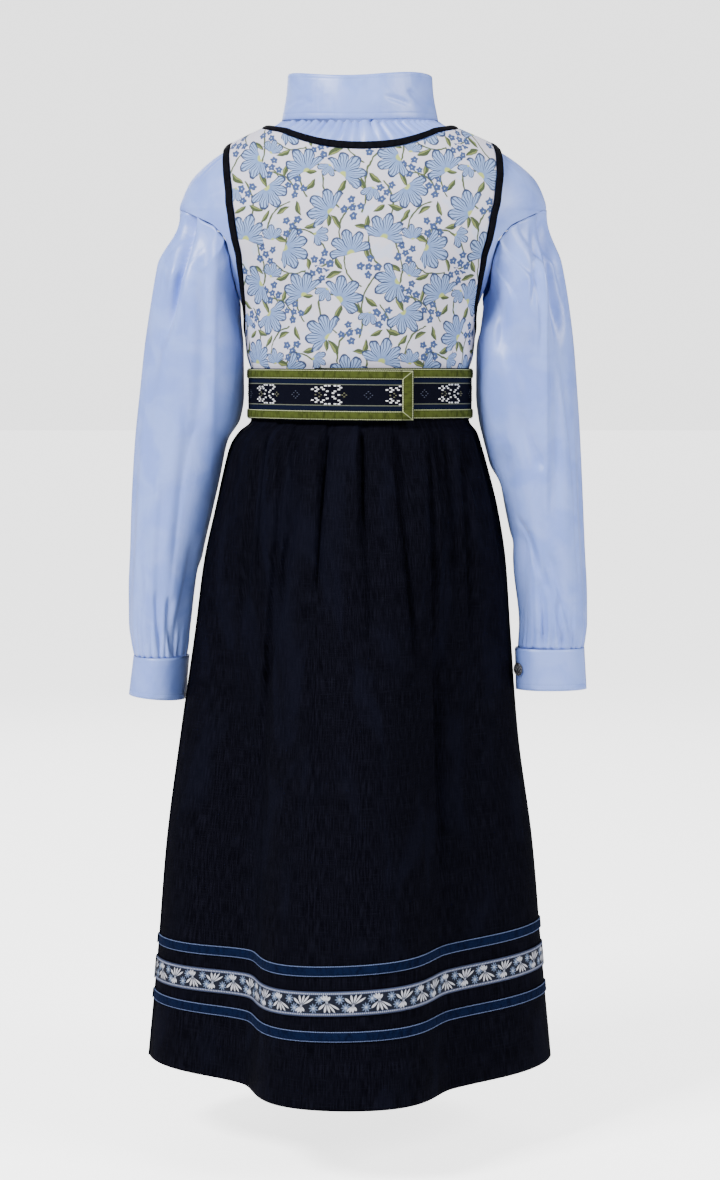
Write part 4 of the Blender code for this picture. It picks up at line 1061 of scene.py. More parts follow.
x, y, own = nearest(drawn_on, [(*item, 0.0) for item in SPRIGS])
drawn = place_group(sprig, Across=x, Up=y, Own=own)
blue = blend(drawn["Heart"], (0.03, 0.058, 0.16), (0.32, 0.38, 0.48))
tone = blend(drawn["Petal"], tone, blue)
x, y, own = nearest(drawn_on, BLOSSOMS)
base = own * -0.9 + 0.94
drawn = place_group(blossom, Across=x + base, Up=y, Own=own)
blue = blend(drawn["Deep"], (0.215, 0.315, 0.55), (0.125, 0.2, 0.4))
blue = blend(drawn["Line"], blue, (0.013, 0.026, 0.075))
blue = blend(drawn["Heart"], blue, (0.34, 0.4, 0.1))
tone = blend(drawn["Petal"], tone, blue)
weave = place_group(plain_weave, Ruler=ruler, Thread=9e-05)
tone = blend(weave["Height"] * 0.1, tone, (0.25, 0.27, 0.36))
join(tone, shader.inputs["Base Color"])
crumple = rough_noise(ruler, 55.0, 3.0, 0.5)
relief(shader, weave["Height"] * 0.05 + crumple, 0.0012, 0.6)

BACK_DARTS = [  # from x, z to x, z, width, depth, sharper flank
    (0.0668, -0.1300, 0.0625, -0.2100, 0.0030, 0.0012, 0.6),
    (-0.0572, -0.1250, -0.0555, -0.2100, 0.0030, 0.0012, 0.6),
]
angle, height = bodice_quarter(1, 0.0)
back_of_bodice = bodice_sheet("back_of_bodice", "bodice_back",
                              [(angle, height, lambda a: a), (angle, height, lambda a: 180.0 - a)],
                              BACK_DARTS)
angle, height = bodice_quarter(-1, 0.15)
left_bodice_front = bodice_sheet("left_bodice_front", "bodice_front_left",
                                 [(angle, height, lambda a: 360.0 - a)])
right_bodice_front = bodice_sheet("right_bodice_front", "bodice_front_right",
                                  [(angle, height, lambda a: 180.0 + a)])


# Velvet binding. Black velvet folded over the neckline and the armholes, rounded and sewn down.

BINDING_OUT = 0.0036
BINDING_CLOTH = 0.0016
BINDING_SHAPE = [  # share of the width, and how far below the highest line
    (0.00, 0.0012),
    (0.06, 0.0005),
    (0.25, 0.0001),
    (0.50, 0.0000),
    (0.75, 0.0001),
    (0.94, 0.0006),
    (1.00, 0.0014),
]


def velvet(name, deep, light, rim):
    """Velvet: a dark pile that lightens where it leans over, in uneven strokes across the strip."""
    material, shader, ruler = new_cloth(name, 0.90, Sheen_Weight=0.03, Sheen_Roughness=0.35,
                                        Sheen_Tint=(*rim, 1), Specular_IOR_Level=0.02)
    pile = rough_noise(stretched(ruler, (330.0, 120.0, 1.0)), 1.0, 2.0)
    hairs = rough_noise(ruler, 5200.0, 1.0)
    tone = blend(between(pile, 0.18, 0.62), deep, light)
    tone = blend(hairs * 0.3, tone, deep)
    join(tone, shader.inputs["Base Color"])
    relief(shader, hairs * 0.5 + pile, 0.0004, 0.6)
    return material


black_velvet = velvet("black_velvet", (0.0012, 0.0012, 0.0022), (0.0040, 0.0040, 0.0060),
                      (0.5, 0.5, 0.55))


def binding(name, edge, inner, closed, swap, node):
    """A rounded strip of velvet between two curves on the bodice."""
    shares = np.array([row[0] for row in BINDING_SHAPE])
    sunk = np.array([row[1] for row in BINDING_SHAPE])
    line = inner[None] + (edge - inner)[None] * shares[:, None, None]
    if closed:
        line = np.concatenate((line, line[:, :1]), 1)
    angle = 180.0 - line[..., 0] if swap else line[..., 0]
    waver = 0.00025 * np.sin(np.arange(line.shape[1]) * 0.9)
    grid = off_body(angle, line[..., 1], BINDING_OUT - sunk[:, None] + waver * (sunk[:, None] < 0.0004))
    ruler = flat_ruler(run_along(grid), shares * BINDING_WIDTH)
    out = facing(grid)
    middle = out[len(grid) // 2, 10]
    inward = grid[len(grid) // 2, 10] * np.array((1, 1, 0))
    if middle @ inward < 0:
        grid, ruler = grid[::-1], ruler[::-1]
    return sew(name, [grid], [ruler], BINDING_CLOTH, black_velvet, node)


armhole_inner = aside(armhole_edge, -BINDING_WIDTH, True)
neck_inner = aside(neck_edge, BINDING_WIDTH, False)
for curve in (neck_edge, neck_inner):
    curve[0, 0], curve[-1, 0] = neck_edge[0, 0] + SEAM_CLEARANCE, neck_edge[-1, 0] - SEAM_CLEARANCE
left_binding = binding("left_armhole_binding", armhole_edge, armhole_inner, True, False,
                       "armhole_binding_left")
right_binding = binding("right_armhole_binding", armhole_edge, armhole_inner, True, True,
                        "armhole_binding_right")
neck_velvet = binding("neck_velvet", neck_edge, neck_inner, False, False, "neck_binding")


# Skirt. Dark navy cloth in a back and a front, laid in knife pleats that all turn one way and
# sewn to the bodice. Below the belt the pleats open into long folds.

SKIRT = [  # height, left, right, depth behind, depth in front
    (-0.2225, 0.0945, 0.0945, 0.0762, 0.0765),
    (-0.2470, 0.0955, 0.0955, 0.0770, 0.0775),
    (-0.2570, 0.1062, 0.1024, 0.0845, 0.0850),
    (-0.2690, 0.1138, 0.1065, 0.0900, 0.0895),
    (-0.2900, 0.1197, 0.1126, 0.0960, 0.0940),
    (-0.3250, 0.1276, 0.1214, 0.1040, 0.1005),
    (-0.3700, 0.1373, 0.1287, 0.1130, 0.1075),
    (-0.4300, 0.1452, 0.1334, 0.1240, 0.1160),
    (-0.5200, 0.1584, 0.1408, 0.1400, 0.1290),
    (-0.6200, 0.1718, 0.1545, 0.1560, 0.1420),
    (-0.7200, 0.1802, 0.1632, 0.1700, 0.1550),
    (-0.8115, 0.1890, 0.1718, 0.1860, 0.1660),
]
PLEATS = [  # angle at the waist, angle at the hem, depth, height where it has opened
    (0.0, 0.0, 0.0030, -0.36),
    (18.0, 21.0, 0.0040, -0.42),
    (42.0, 52.0, 0.0065, -0.56),
    (55.0, 65.0, 0.0050, -0.39),
    (73.0, 77.0, 0.0050, -0.37),
    (90.0, 93.0, 0.0052, -0.42),
    (108.0, 109.0, 0.0055, -0.43),
    (127.0, 124.0, 0.0060, -0.56),
    (147.0, 145.0, 0.0040, -0.35),
    (162.0, 163.0, 0.0045, -0.42),
    (180.0, 180.0, 0.0030, -0.36),
    (201.0, 199.0, 0.0045, -0.40),
    (225.0, 219.0, 0.0055, -0.52),
    (244.0, 240.0, 0.0045, -0.37),
    (264.0, 262.0, 0.0050, -0.42),
    (285.0, 284.0, 0.0045, -0.36),
    (305.0, 305.0, 0.0055, -0.50),
    (325.0, 324.0, 0.0050, -0.39),
    (343.0, 342.0, 0.0045, -0.42),
]
PLEAT_SHAPE = [  # share of the width at the waist and at the hem, share of the depth
    (0.00, 0.00, 0.00),
    (0.12, 0.25, 1.00),
    (0.45, 0.50, 0.62),
    (0.74, 0.75, 0.26),
]
LONG_FOLDS = [  # angle at the waist, angle at the hem, depth, width before, width after
    (36.0, 48.0, 0.041, 26.0, 15.5),
    (131.0, 127.0, 0.033, 15.5, 29.0),
    (228.0, 226.0, 0.028, 22.0, 10.0),
    (268.0, 266.0, 0.010, 9.0, 9.0),
    (312.0, 309.0, 0.030, 10.0, 22.0),
]
SIDE_FLATNESS = 0.25
BETWEEN = 5  # columns from one knot of a pleat to the next
SKIRT_CLOTH = 0.0012


def skirt_columns(height):
    """Angles round the skirt at one height, and how far each column is laid in."""
    spread = float(ease(-0.26, -0.50, height))
    angles = []
    depths = []
    for i, (waist, hem, depth, opened) in enumerate(PLEATS):
        after = PLEATS[(i + 1) % len(PLEATS)]
        more = 360.0 if i == len(PLEATS) - 1 else 0.0
        start = waist + (hem - waist) * spread
        end = after[0] + (after[1] - after[0]) * spread + more
        reach = depth * (0.25 + 0.75 * ease(-0.248, -0.275, height)) * (1 - ease(-0.27, opened, height))
        for at_waist, at_hem, share in PLEAT_SHAPE:
            angles.append(start + (end - start) * (at_waist + (at_hem - at_waist) * spread))
            depths.append(reach * share)
    knots = np.arange(len(angles) + 1)
    fine = np.arange(len(angles) * BETWEEN + 1) / BETWEEN
    return (np.interp(fine, knots, angles + [angles[0] + 360.0]),
            np.interp(fine, knots, depths + [depths[0]]))


def skirt_grid(heights):
    """Points of the skirt's outer side, a row for each height."""
    rows = []
    for height in heights:
        angle, inward = skirt_columns(height)
        turn = np.radians(angle)
        left, right = (float(through(SKIRT, k, height)) for k in (1, 2))
        half_x = (left + right) / 2
        behind, before = (float(through(SKIRT, k, height)) for k in (3, 4))
        half_y = np.where(np.sin(turn) >= 0, behind, before)
        full = float(ease(-0.255, -0.600, height))
        flatter = np.maximum(abs(np.sin(turn)), 1e-6) ** (SIDE_FLATNESS * full)
        point = np.stack(((left - right) / 2 + half_x * np.cos(turn),
                          half_y * np.sin(turn) * flatter, height + 0 * turn), -1)
        for waist, hem, depth, before, after in LONG_FOLDS:
            centre = waist + (hem - waist) * full
            width = np.where(angle < centre, before, after)
            inward = inward + depth * full * np.exp(-((angle - centre) / width) ** 2)
        rows.append(point - oval_side(turn, half_x, half_y) * inward[:, None])
    return np.array(rows)


navy, shader, ruler = new_cloth("navy_skirt_cloth", 0.75, Specular_IOR_Level=0.01)
weave = place_group(plain_weave, Ruler=ruler, Thread=0.00011)
upright = rough_noise(stretched(ruler, (1500.0, 70.0, 1.0)), 1.0, 2.0)
level = rough_noise(stretched(ruler, (60.0, 1500.0, 1.0)), 1.0, 2.0)
water = rough_noise(stretched(ruler, (26.0, 7.0, 1.0)), 1.0, 3.0, 1.2)
tone = blend(between(upright, 0.35, 0.75), (0.0011, 0.0011, 0.0024), (0.0038, 0.0039, 0.0076))
tone = blend(between(level, 0.5, 0.8, 0.0, 0.5), tone, (0.0052, 0.0054, 0.0098))
tone = blend(between(water, 0.5, 0.68, 0.0, 0.45), tone, (0.0038, 0.0042, 0.0094))
join(tone, shader.inputs["Base Color"])
relief(shader, weave["Height"] * 0.2 + upright + level, 0.0003, 0.5)

heights = np.concatenate((np.linspace(-0.2225, -0.300, 48), np.linspace(-0.3035, -0.8115, 160)))
skirt_form = skirt_grid(heights)
half = next(i for i, row in enumerate(PLEATS) if row[0] == 180.0) * len(PLEAT_SHAPE) * BETWEEN
ruler = flat_ruler(-run_along(skirt_form[60:61]), heights)
SKIRT_CREASES = [  # from x, z to x, z, width, depth, share of the width on the left flank
    (0.0690, -0.248, 0.0870, -0.560, 0.0052, 0.0066, 0.22),
    (0.0540, -0.248, 0.0760, -0.430, 0.0048, 0.0056, 0.22),
    (0.0510, -0.290, 0.0830, -0.470, 0.0058, 0.0046, 0.25),
    (0.0275, -0.248, 0.0400, -0.400, 0.0046, 0.0064, 0.22),
    (0.0390, -0.360, 0.0300, -0.640, 0.0130, 0.0046, 0.60),
    (0.0005, -0.248, -0.0010, -0.345, 0.0044, 0.0062, 0.22),
    (-0.0010, -0.320, -0.0130, -0.450, 0.0090, 0.0046, 0.40),
    (-0.0285, -0.248, -0.0460, -0.470, 0.0048, 0.0066, 0.22),
    (-0.0570, -0.250, -0.0710, -0.660, 0.0052, 0.0068, 0.22),
    (-0.0700, -0.252, -0.0810, -0.400, 0.0046, 0.0050, 0.25),
    (-0.0880, -0.258, -0.0950, -0.450, 0.0048, 0.0058, 0.22),
    (0.0880, -0.252, 0.1050, -0.440, 0.0056, 0.0054, 0.30),
]
FRONT_CREASES = [(-x1 * 0.9 + 0.008, z1, -x2 * 0.9 + 0.008, z2 - 0.02, w, d, 1 / s)
                 for x1, z1, x2, z2, w, d, s in SKIRT_CREASES]
for name, columns, step, node, folds in (
        ("back_of_skirt", slice(0, half + 1), 0.0002, "skirt_back", SKIRT_CREASES),
        ("front_of_skirt", slice(half, None), -0.0002, "skirt_front", FRONT_CREASES)):
    grid = skirt_form[:, columns].copy()
    inward = unit(np.stack((grid[..., 0], grid[..., 1] * 1.2, 0 * grid[..., 0]), -1))
    grid = grid - inward * creased(grid[..., [0, 2]], folds)[..., None]
    grid[:, 0, 1] += step
    grid[:, -1, 1] += step
    sew(name, [grid], [ruler[:, columns]], SKIRT_CLOTH, navy, node)


# Skirt ribbons. Two narrow blue velvet ribbons with a wide woven ribbon between them, stitched
# round the skirt above the hem along both edges.

RIBBONS = [  # name, upper edge at the middle, height, slope across, slot, solid
    ("upper_velvet_ribbon", -0.6940, 0.0083, -0.045, "blue_velvet", "ribbon_velvet_upper"),
    ("woven_ribbon", -0.7145, 0.0203, -0.040, "hem_ribbon", "ribbon_woven"),
    ("lower_velvet_ribbon", -0.7475, 0.0083, -0.022, "blue_velvet", "ribbon_velvet_lower"),
]
RIBBON_OUT = 0.0013
RIBBON_CLOTH = 0.0006


def edged_velvet(name, wide, deep, light, rim, edge, long=0.0):
    """A velvet strip with a pale woven edge on both sides, sewn down beside each edge.

    With a length, its two ends are mitred: the edges turn a corner there along a slanting seam.
    """
    material = velvet(name, deep, light, rim)
    shader, bump, parts, tone, height = so_far(material)
    across = parts[1]
    if long:
        to_end = work("MINIMUM", parts[0], long - parts[0])
        beyond = to_end + across - wide
        corner = work("LESS_THAN", beyond, 0.0)
        across = corner * (to_end - across) + across
    far = abs(across - wide / 2)
    selvedge = between(far, wide / 2 - 0.00075, wide / 2 - 0.00055)
    picks = work("SINE", parts[0] * 4200.0)
    pale = blend(between(picks, -0.6, 0.8), tuple(v * 0.45 for v in edge), edge)
    tone = blend(selvedge, tone, pale)
    row = place_group(stitch_row, Along=parts[0], Length=0.0022, Across=far - (wide / 2 - 0.0012))
    tone = blend(row["Thread"] * 0.6, tone, deep)
    height = height - row["Dip"]
    if long:
        mitre = between(abs(beyond), 0.0006, 0.0002)
        tone = blend(mitre * 0.7, tone, edge)
        height = height - mitre
    join(tone, shader.inputs["Base Color"])
    join(height, bump.inputs["Height"])
    return material


blue_velvet = edged_velvet("blue_velvet", 0.0083, (0.0010, 0.0022, 0.0095), (0.0028, 0.0064, 0.0240),
                           (0.35, 0.45, 0.8), (0.105, 0.140, 0.260))

# The woven ribbon: leaf sprays that point up and down by turns, with rosettes between them
SPRAY_STEP = 0.0220
RIBBON_TALL = 0.0203
LEAF_STEP = 2 * math.pi / 13  # thirteen leaves to a full turn
woven, shader, ruler = new_cloth("woven_ribbon", 0.75, Specular_IOR_Level=0.12)
spray, given, result = group("leaf_spray", ["Across", "Up"], ["Leaves", "Gap"])
reach, turn = polar(given["Up"], given["Across"])
fan = work("SNAP", turn + LEAF_STEP / 2, LEAF_STEP)
off = turn - fan
bend = abs(fan)
low = work("GREATER_THAN", bend, 2.0)
tall = work("MINIMUM", bend * 0.002 + 0.0088, low * -0.01 + 0.0162)
part = reach * work("COSINE", off) / tall
side = abs(reach * work("SINE", off))
belly = part * part * 0.0056 * (1.0 - part)
blade = between(belly - side, -0.0001, 0.0001)
wide = work("MAXIMUM", work("LESS_THAN", bend, 1.2), low)
blade = work("MAXIMUM", blade * wide, between(reach, 0.0011, 0.0008))
join(blade, result.inputs["Leaves"])
join(between(side, 0.0002, 0.0001), result.inputs["Gap"])
rosette, given, result = group("rosette", ["Across", "Up"], ["Petals", "Heart"])
reach, turn = polar(given["Across"], given["Up"])
edge = work("COSINE", turn * 9.0) * 0.0012 + 0.0028
join(between(edge - reach, -0.0001, 0.0001), result.inputs["Petals"])
join(between(reach, 0.0011, 0.0008), result.inputs["Heart"])
along, up = axes(ruler)[:2]
middle = up - RIBBON_TALL / 2
tone = blend(rough_noise(ruler, 2600.0, 1.0), (0.0022, 0.003, 0.008), (0.006, 0.008, 0.018))
for shift, flip in ((0.0, 1.0), (SPRAY_STEP, -1.0)):
    for start, rise in ((0.28, -0.0034), (0.51, 0.0035)):
        near = work("WRAP", along - (shift + SPRAY_STEP * start), SPRAY_STEP, -SPRAY_STEP)
        flower = place_group(rosette, Across=near, Up=middle * flip - rise)
        grey = blend(flower["Heart"], (0.125, 0.165, 0.26), (0.34, 0.38, 0.48))
        tone = blend(flower["Petals"], tone, grey)
    near = work("WRAP", along - shift, SPRAY_STEP, -SPRAY_STEP)
    rise = middle * flip + 0.0015
    leaves = place_group(spray, Across=rise * 0.3 + near, Up=rise)
    pale = blend(leaves["Gap"], (0.56, 0.56, 0.61), (0.22, 0.24, 0.31))
    tone = blend(leaves["Leaves"], tone, pale)
far = abs(middle)
border = between(far, RIBBON_TALL / 2 - 0.0029, RIBBON_TALL / 2 - 0.0026)
teeth = work("SINE", along * (2 * math.pi / 0.0017))
notch = between(teeth * 0.0004 + far, RIBBON_TALL / 2 - 0.0006, RIBBON_TALL / 2 - 0.0003)
dots = between(teeth, -0.2, 0.5) * between(abs(far - (RIBBON_TALL / 2 - 0.0018)), 0.0007, 0.0005)
edge = blend(dots, (0.045, 0.058, 0.115), (0.33, 0.35, 0.44))
edge = blend(notch, edge, (0.02, 0.025, 0.05))
tone = blend(border, tone, edge)
ribs = work("SINE", up * (2 * math.pi / 0.00042))
tone = blend(between(ribs, -1.0, 1.0, 0.0, 0.22), tone, (0.004, 0.006, 0.013))
join(tone, shader.inputs["Base Color"])
relief(shader, ribs * 0.3 + rough_noise(ruler, 3000.0, 1.0), 0.0002, 0.6)
RIBBON_LOOKS = {"blue_velvet": blue_velvet, "hem_ribbon": woven}
outward = facing(skirt_form)
for name, top, tall, slope, slot, node in RIBBONS:
    shares = np.linspace(0, 1, 9)
    grid = np.empty((len(shares), skirt_form.shape[1], 3))
    for column in range(skirt_form.shape[1]):
        line, way = skirt_form[:, column], outward[:, column]
        level = top - tall * shares + slope * np.interp(top, line[::-1, 2], line[::-1, 0])
        for axis in range(3):
            flat = np.interp(level, line[::-1, 2], line[::-1, axis])
            grid[:, column, axis] = flat + RIBBON_OUT * np.interp(level, line[::-1, 2], way[::-1, axis])
    ruler = flat_ruler(-run_along(grid), tall * (1 - shares))
    sew(name, [grid], [ruler], RIBBON_CLOTH, RIBBON_LOOKS[slot], node)


# Belt. A dark woven band with light figures, edged with strips of green velvet, wound round the
# waist and lapped behind, where its end is faced with velvet across.

BELT_HALF_X = 0.0978
BELT_HALF_Y = 0.0798
BELT_WALL = 0.0014
BELT_TOP = -0.2018
BELT_HEIGHT = 0.0436
BELT_LAP = 50.0
BELT_END_ANGLE = 117.0
VELVET_WALL = 0.0008
VELVET_CLOTH = 0.0006
BELT_LIFT = BELT_WALL + SEAM_GAP * 2 + VELVET_WALL + 0.0004
VELVET_HEIGHT = 0.0074
VELVET_INSET = 0.0009
VELVET_END = 0.0078


def belt_grid(turned, drop, out):
    """Points of the wound belt, by the turn from its inner end and the drop from its upper edge."""
    angle = BELT_END_ANGLE - BELT_LAP + turned
    height = BELT_TOP - drop - 0.0016 * ease(300.0, 410.0, turned)
    return band((0, 0), BELT_HALF_X, BELT_HALF_Y, angle, height, out + lap(turned, BELT_LIFT, 48.0))


full = 360.0 + BELT_LAP
degree = math.radians(1.0) * BELT_HALF_Y
end = full - (VELVET_END + VELVET_INSET) / degree
turns = np.linspace(0.0, full, 1201)
BELT_RUN = (turns, run_along(belt_grid(turns, 0.0 * turns, 0.0)[None]))
GREENS = ((0.016, 0.021, 0.005), (0.052, 0.066, 0.014), (0.7, 0.8, 0.4), (0.33, 0.36, 0.20))
green_velvet = edged_velvet("green_velvet", VELVET_HEIGHT, *GREENS)
mitred_velvet = edged_velvet("mitred_green_velvet", VELVET_HEIGHT, *GREENS,
                             BELT_HEIGHT - 2 * VELVET_INSET)

# The belt's band: a black middle between navy stripes, with thin grey-green lines between them
band_cloth, shader, ruler = new_cloth("woven_belt_band", 0.80, Specular_IOR_Level=0.02)
along, down = axes(ruler)[:2]
far = abs(down + BELT_HEIGHT / 2)
ribs = work("SINE", along * (2 * math.pi / 0.00085))
picks = work("SINE", down * (2 * math.pi / 0.0006))
grain = rough_noise(ruler, 900.0, 2.0)
tone = blend(grain, (0.0012, 0.0013, 0.0032), (0.0034, 0.0038, 0.009))
stripe = between(far, 0.0092, 0.0095) * between(far, 0.0133, 0.013)
tone = blend(stripe, tone, blend(grain, (0.0018, 0.0027, 0.009), (0.0046, 0.007, 0.02)))
line = between(abs(far - 0.0088), 0.00042, 0.00028)
tone = blend(line * 0.8, tone, (0.115, 0.125, 0.095))
join(tone, shader.inputs["Base Color"])
pucker = rough_noise(stretched(ruler, (70.0, 12.0, 1.0)), 1.0, 2.0)
relief(shader, (ribs + picks) * 0.06 + pucker, 0.0008, 0.6)
BELT_CLOTH = {"green_velvet": green_velvet, "belt_woven": band_cloth}


def belt_piece(name, start, end, upper, lower, out, wall, bulge, slot, node):
    """A strip that is wound with the belt, between two turns and two drops."""
    drop, turned = np.meshgrid(np.linspace(upper, lower, 13),
                               np.linspace(start, end, max(int((end - start) / 1.6), 6)), indexing="ij")
    across = (drop - upper) / (lower - upper)
    grid = belt_grid(turned, drop, out - bulge * (2 * across - 1) ** 4)
    along = np.interp(turned, *BELT_RUN)
    if slot == "belt_woven":
        flat = np.stack((-along, -drop), -1)
    elif lower - upper < 0.01:
        flat = np.stack((-along, lower - drop), -1)
    else:
        flat = np.stack((drop - upper, VELVET_HEIGHT * (turned - start) / (end - start)), -1)
    return sew(name, [grid], [flat], wall, BELT_CLOTH[slot], node)


lower = BELT_HEIGHT - VELVET_INSET - VELVET_HEIGHT
raised = SEAM_GAP + VELVET_WALL
meeting = end - SEAM_GAP / degree
belt = belt_piece("belt", 0.0, full, 0.0, BELT_HEIGHT, 0.0, BELT_WALL, 0.0, "belt_woven", "belt_band")
upper_velvet = belt_piece("upper_belt_velvet", 0.0, meeting, VELVET_INSET,
                          VELVET_INSET + VELVET_HEIGHT, raised, VELVET_CLOTH, 0.0003, "green_velvet",
                          "belt_velvet_upper")
lower_velvet = belt_piece("lower_belt_velvet", 0.0, meeting, lower, lower + VELVET_HEIGHT, raised,
                          VELVET_CLOTH, 0.0003, "green_velvet", "belt_velvet_lower")
end_velvet = belt_piece("end_belt_velvet", end, full - VELVET_INSET / degree, VELVET_INSET,
                        lower + VELVET_HEIGHT, raised, VELVET_CLOTH, 0.0, "green_velvet",
                        "belt_velvet_end")
end_velvet.data.materials[0] = mitred_velvet


# Belt figures. Small white and olive floats of yarn, woven in by hand over the black middle:
# a barred cross with a small diamond at its point, and a dotted diamond between two crosses.

CROSS = [
    ".......#.#..#.#....",
    "..#..#.........#...",
    "#..#..#.......#....",
    "..#.....#...#......",
    "....o......#.....o.",
    "..o..o.#......#.o.o",
    "....o......#.....o.",
    "..#.....#...#......",
    "#..#..#.......#....",
    "..#..#.........#...",
    ".......#.#..#.#....",
]
DIAMOND = [
    "..b..",
    ".b.b.",
    "b...b",
    ".b.b.",
    "..b..",
]
FIGURE_STEP = 0.0640
FIRST_FIGURE = 0.0250
CELL = (0.00166, 0.00153)  # along and down, from one float to the next
FLOATS = {"#": (0.0022, 0.00115), "o": (0.0014, 0.0009), "b": (0.0010, 0.0007)}
YARN = {"#": (0.78, 0.78, 0.80), "o": (0.080, 0.080, 0.030), "b": (0.012, 0.020, 0.058)}


def yarn(name, colour):
    """Soft wool yarn of one colour."""
    material, shader = new_cloth(name, 0.70, Sheen_Weight=0.2)[:2]
    fibres = rough_noise(in_space(shader), 1800.0, 2.0)
    join(blend(fibres, tuple(v * 0.7 for v in colour), colour), shader.inputs["Base Color"])
    relief(shader, fibres, 0.0003, 0.7)
    return material


def belt_floats(name, letter):
    """All the floats of one colour, as small closed pillows just over the band."""
    points = []
    faces = []
    last = np.interp(end, *BELT_RUN)
    start_of_end = np.interp(full, *BELT_RUN) - FIRST_FIGURE
    for figure in range(int(last / FIGURE_STEP) + 1):
        for chart, shift in ((CROSS, 0.0), (DIAMOND, -0.0185)):
            for j, row in enumerate(chart):
                for i, mark in enumerate(row):
                    start = start_of_end - figure * FIGURE_STEP + shift + i * CELL[0]
                    wide, tall = FLOATS[letter]
                    if mark != letter or start < 0.002 or start + wide > last - 0.0004:
                        continue
                    drop = BELT_HEIGHT / 2 + (j - len(chart) / 2 + 0.5) * CELL[1]
                    across = np.interp(start + wide * np.array((0.0, 0.5, 1.0)), *BELT_RUN[::-1])
                    down = drop + tall * np.array((-0.5, 0.0, 0.5))
                    a, d = np.meshgrid(across, down)
                    raised_by = np.full(a.shape, 0.00018)
                    raised_by[1, 1] = 0.00042
                    raised_by[1, :] += 0.00010
                    first = len(points)
                    points.extend(belt_grid(a, d, raised_by).reshape(-1, 3))
                    points.extend(belt_grid(a, d, np.full(a.shape, 0.00002)).reshape(-1, 3))
                    corner = first + np.arange(9).reshape(3, 3)
                    top = [(corner[r, c], corner[r + 1, c], corner[r + 1, c + 1], corner[r, c + 1])
                           for r in (0, 1) for c in (0, 1)]
                    faces.extend(top)
                    faces.extend(tuple(k + 9 for k in face[::-1]) for face in top)
                    rim = [corner[0, 0], corner[0, 1], corner[0, 2], corner[1, 2], corner[2, 2],
                           corner[2, 1], corner[2, 0], corner[1, 0]]
                    for one, two in zip(rim, rim[1:] + rim[:1]):
                        faces.append((one, two, two + 9, one + 9))
    mesh = bpy.data.meshes.new(name)
    mesh.from_pydata([tuple(map(float, p)) for p in points], [], [tuple(map(int, f)) for f in faces])
    mesh.shade_smooth()
    mesh.materials.append(yarn(name + "_yarn", YARN[letter]))
    piece = bpy.data.objects.new(name, mesh)
    bpy.context.scene.collection.objects.link(piece)
    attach(piece, "root")
    return piece


white_figures = belt_floats("white_belt_figures", "#")
olive_figures = belt_floats("olive_belt_figures", "o")
blue_figures = belt_floats("blue_belt_figures", "b")


# Buttons. Domed buttons of dark oxidised silver, chased with small scrolls, on the collar and on
# each cuff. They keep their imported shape.

silver = bpy.data.materials.new("oxidised_silver")
silver.use_nodes = True
shader = silver.node_tree.nodes["Principled BSDF"]
shader.inputs["Metallic"].default_value = 0.85
place = in_space(shader)
scrolls = put(silver.node_tree, "ShaderNodeTexVoronoi", {"Vector": place, "Scale": 620.0},
              feature="DISTANCE_TO_EDGE")
tarnish = rough_noise(place, 900.0, 3.0)
raised = between(Value(scrolls.outputs["Distance"]), 0.02, 0.16, 1.0, 0.0)
tone = blend(raised, (0.018, 0.018, 0.022), (0.22, 0.22, 0.24))
tone = blend(between(tarnish, 0.45, 0.75, 0.0, 0.6), tone, (0.03, 0.028, 0.03))
join(tone, shader.inputs["Base Color"])
join(between(tarnish, 0.2, 0.8, 0.3, 0.55), shader.inputs["Roughness"])
relief(shader, raised, 0.0006, 0.9)
for name in ("collar_button", "cuff_button_left", "cuff_button_right"):
    button = bpy.data.objects[name]
    button.data.materials.clear()
    button.data.materials.append(silver)


# Studio. A pale floor, two soft lamps behind the costume, a weak one in front, and a camera at
# the photograph's angle. Floor and air are brightened only where the camera sees them.

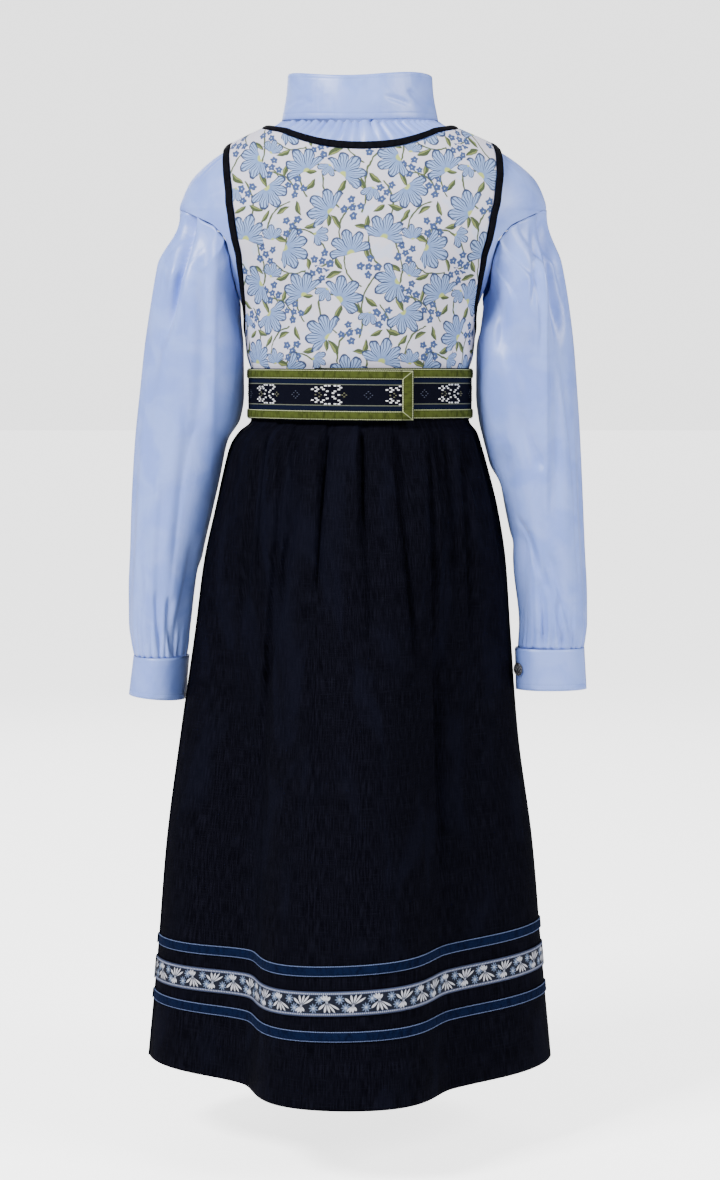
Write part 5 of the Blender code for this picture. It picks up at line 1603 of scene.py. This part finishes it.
FLOOR = -0.88
bpy.ops.mesh.primitive_plane_add(size=80.0, location=(0, 0, FLOOR))
floor = bpy.context.object
floor.name = "studio_floor"
paper = bpy.data.materials.new("pale_paper")
paper.use_nodes = True
tree = paper.node_tree
shader = tree.nodes["Principled BSDF"]
shader.inputs["Base Color"].default_value = (0.92, 0.92, 0.92, 1.0)
shader.inputs["Roughness"].default_value = 0.9
seen = Value(put(tree, "ShaderNodeLightPath").outputs["Is Camera Ray"])
lit = put(tree, "ShaderNodeEmission", {"Strength": seen * 2.6})
both = put(tree, "ShaderNodeAddShader", {0: shader.outputs[0], 1: lit.outputs[0]})
join(both.outputs[0], tree.nodes["Material Output"].inputs[0])
floor.data.materials.append(paper)

eye = Vector((0.0, 2.3, -0.22))
target = Vector((0.0, 0.0, -0.396))
lens = bpy.data.cameras.new("camera")
lens.lens = 80.0
lens.sensor_width = 36.0
camera = bpy.data.objects.new("camera", lens)
camera.location = eye
camera.rotation_euler = (target - eye).to_track_quat("-Z", "Y").to_euler()
bpy.context.scene.collection.objects.link(camera)
bpy.context.scene.camera = camera


def softbox(name, place, size, power):
    """A large soft lamp aimed at the middle of the costume."""
    light = bpy.data.lights.new(name, "AREA")
    light.size = size
    light.energy = power
    lamp = bpy.data.objects.new(name, light)
    lamp.location = place
    lamp.rotation_euler = (Vector((0, 0, -0.4)) - Vector(place)).to_track_quat("-Z", "Y").to_euler()
    bpy.context.scene.collection.objects.link(lamp)


softbox("key_light", (1.7, 1.6, 1.5), 0.8, 190.0)
softbox("fill_light", (-2.0, 1.3, 0.8), 0.9, 78.0)
softbox("front_light", (0.5, -2.4, 1.0), 1.8, 40.0)
world = bpy.data.worlds.new("studio")
bpy.context.scene.world = world
world.use_nodes = True
air = world.node_tree
glow = air.nodes["Background"]
glow.inputs[0].default_value = (1.0, 1.0, 1.0, 1.0)
glow.inputs[1].default_value = 0.24
white = put(air, "ShaderNodeBackground", {1: 3.1})
seen = Value(put(air, "ShaderNodeLightPath").outputs["Is Camera Ray"])
both = put(air, "ShaderNodeMixShader", {0: seen, 1: glow.outputs[0], 2: white.outputs[0]})
join(both.outputs[0], air.nodes["World Output"].inputs[0])
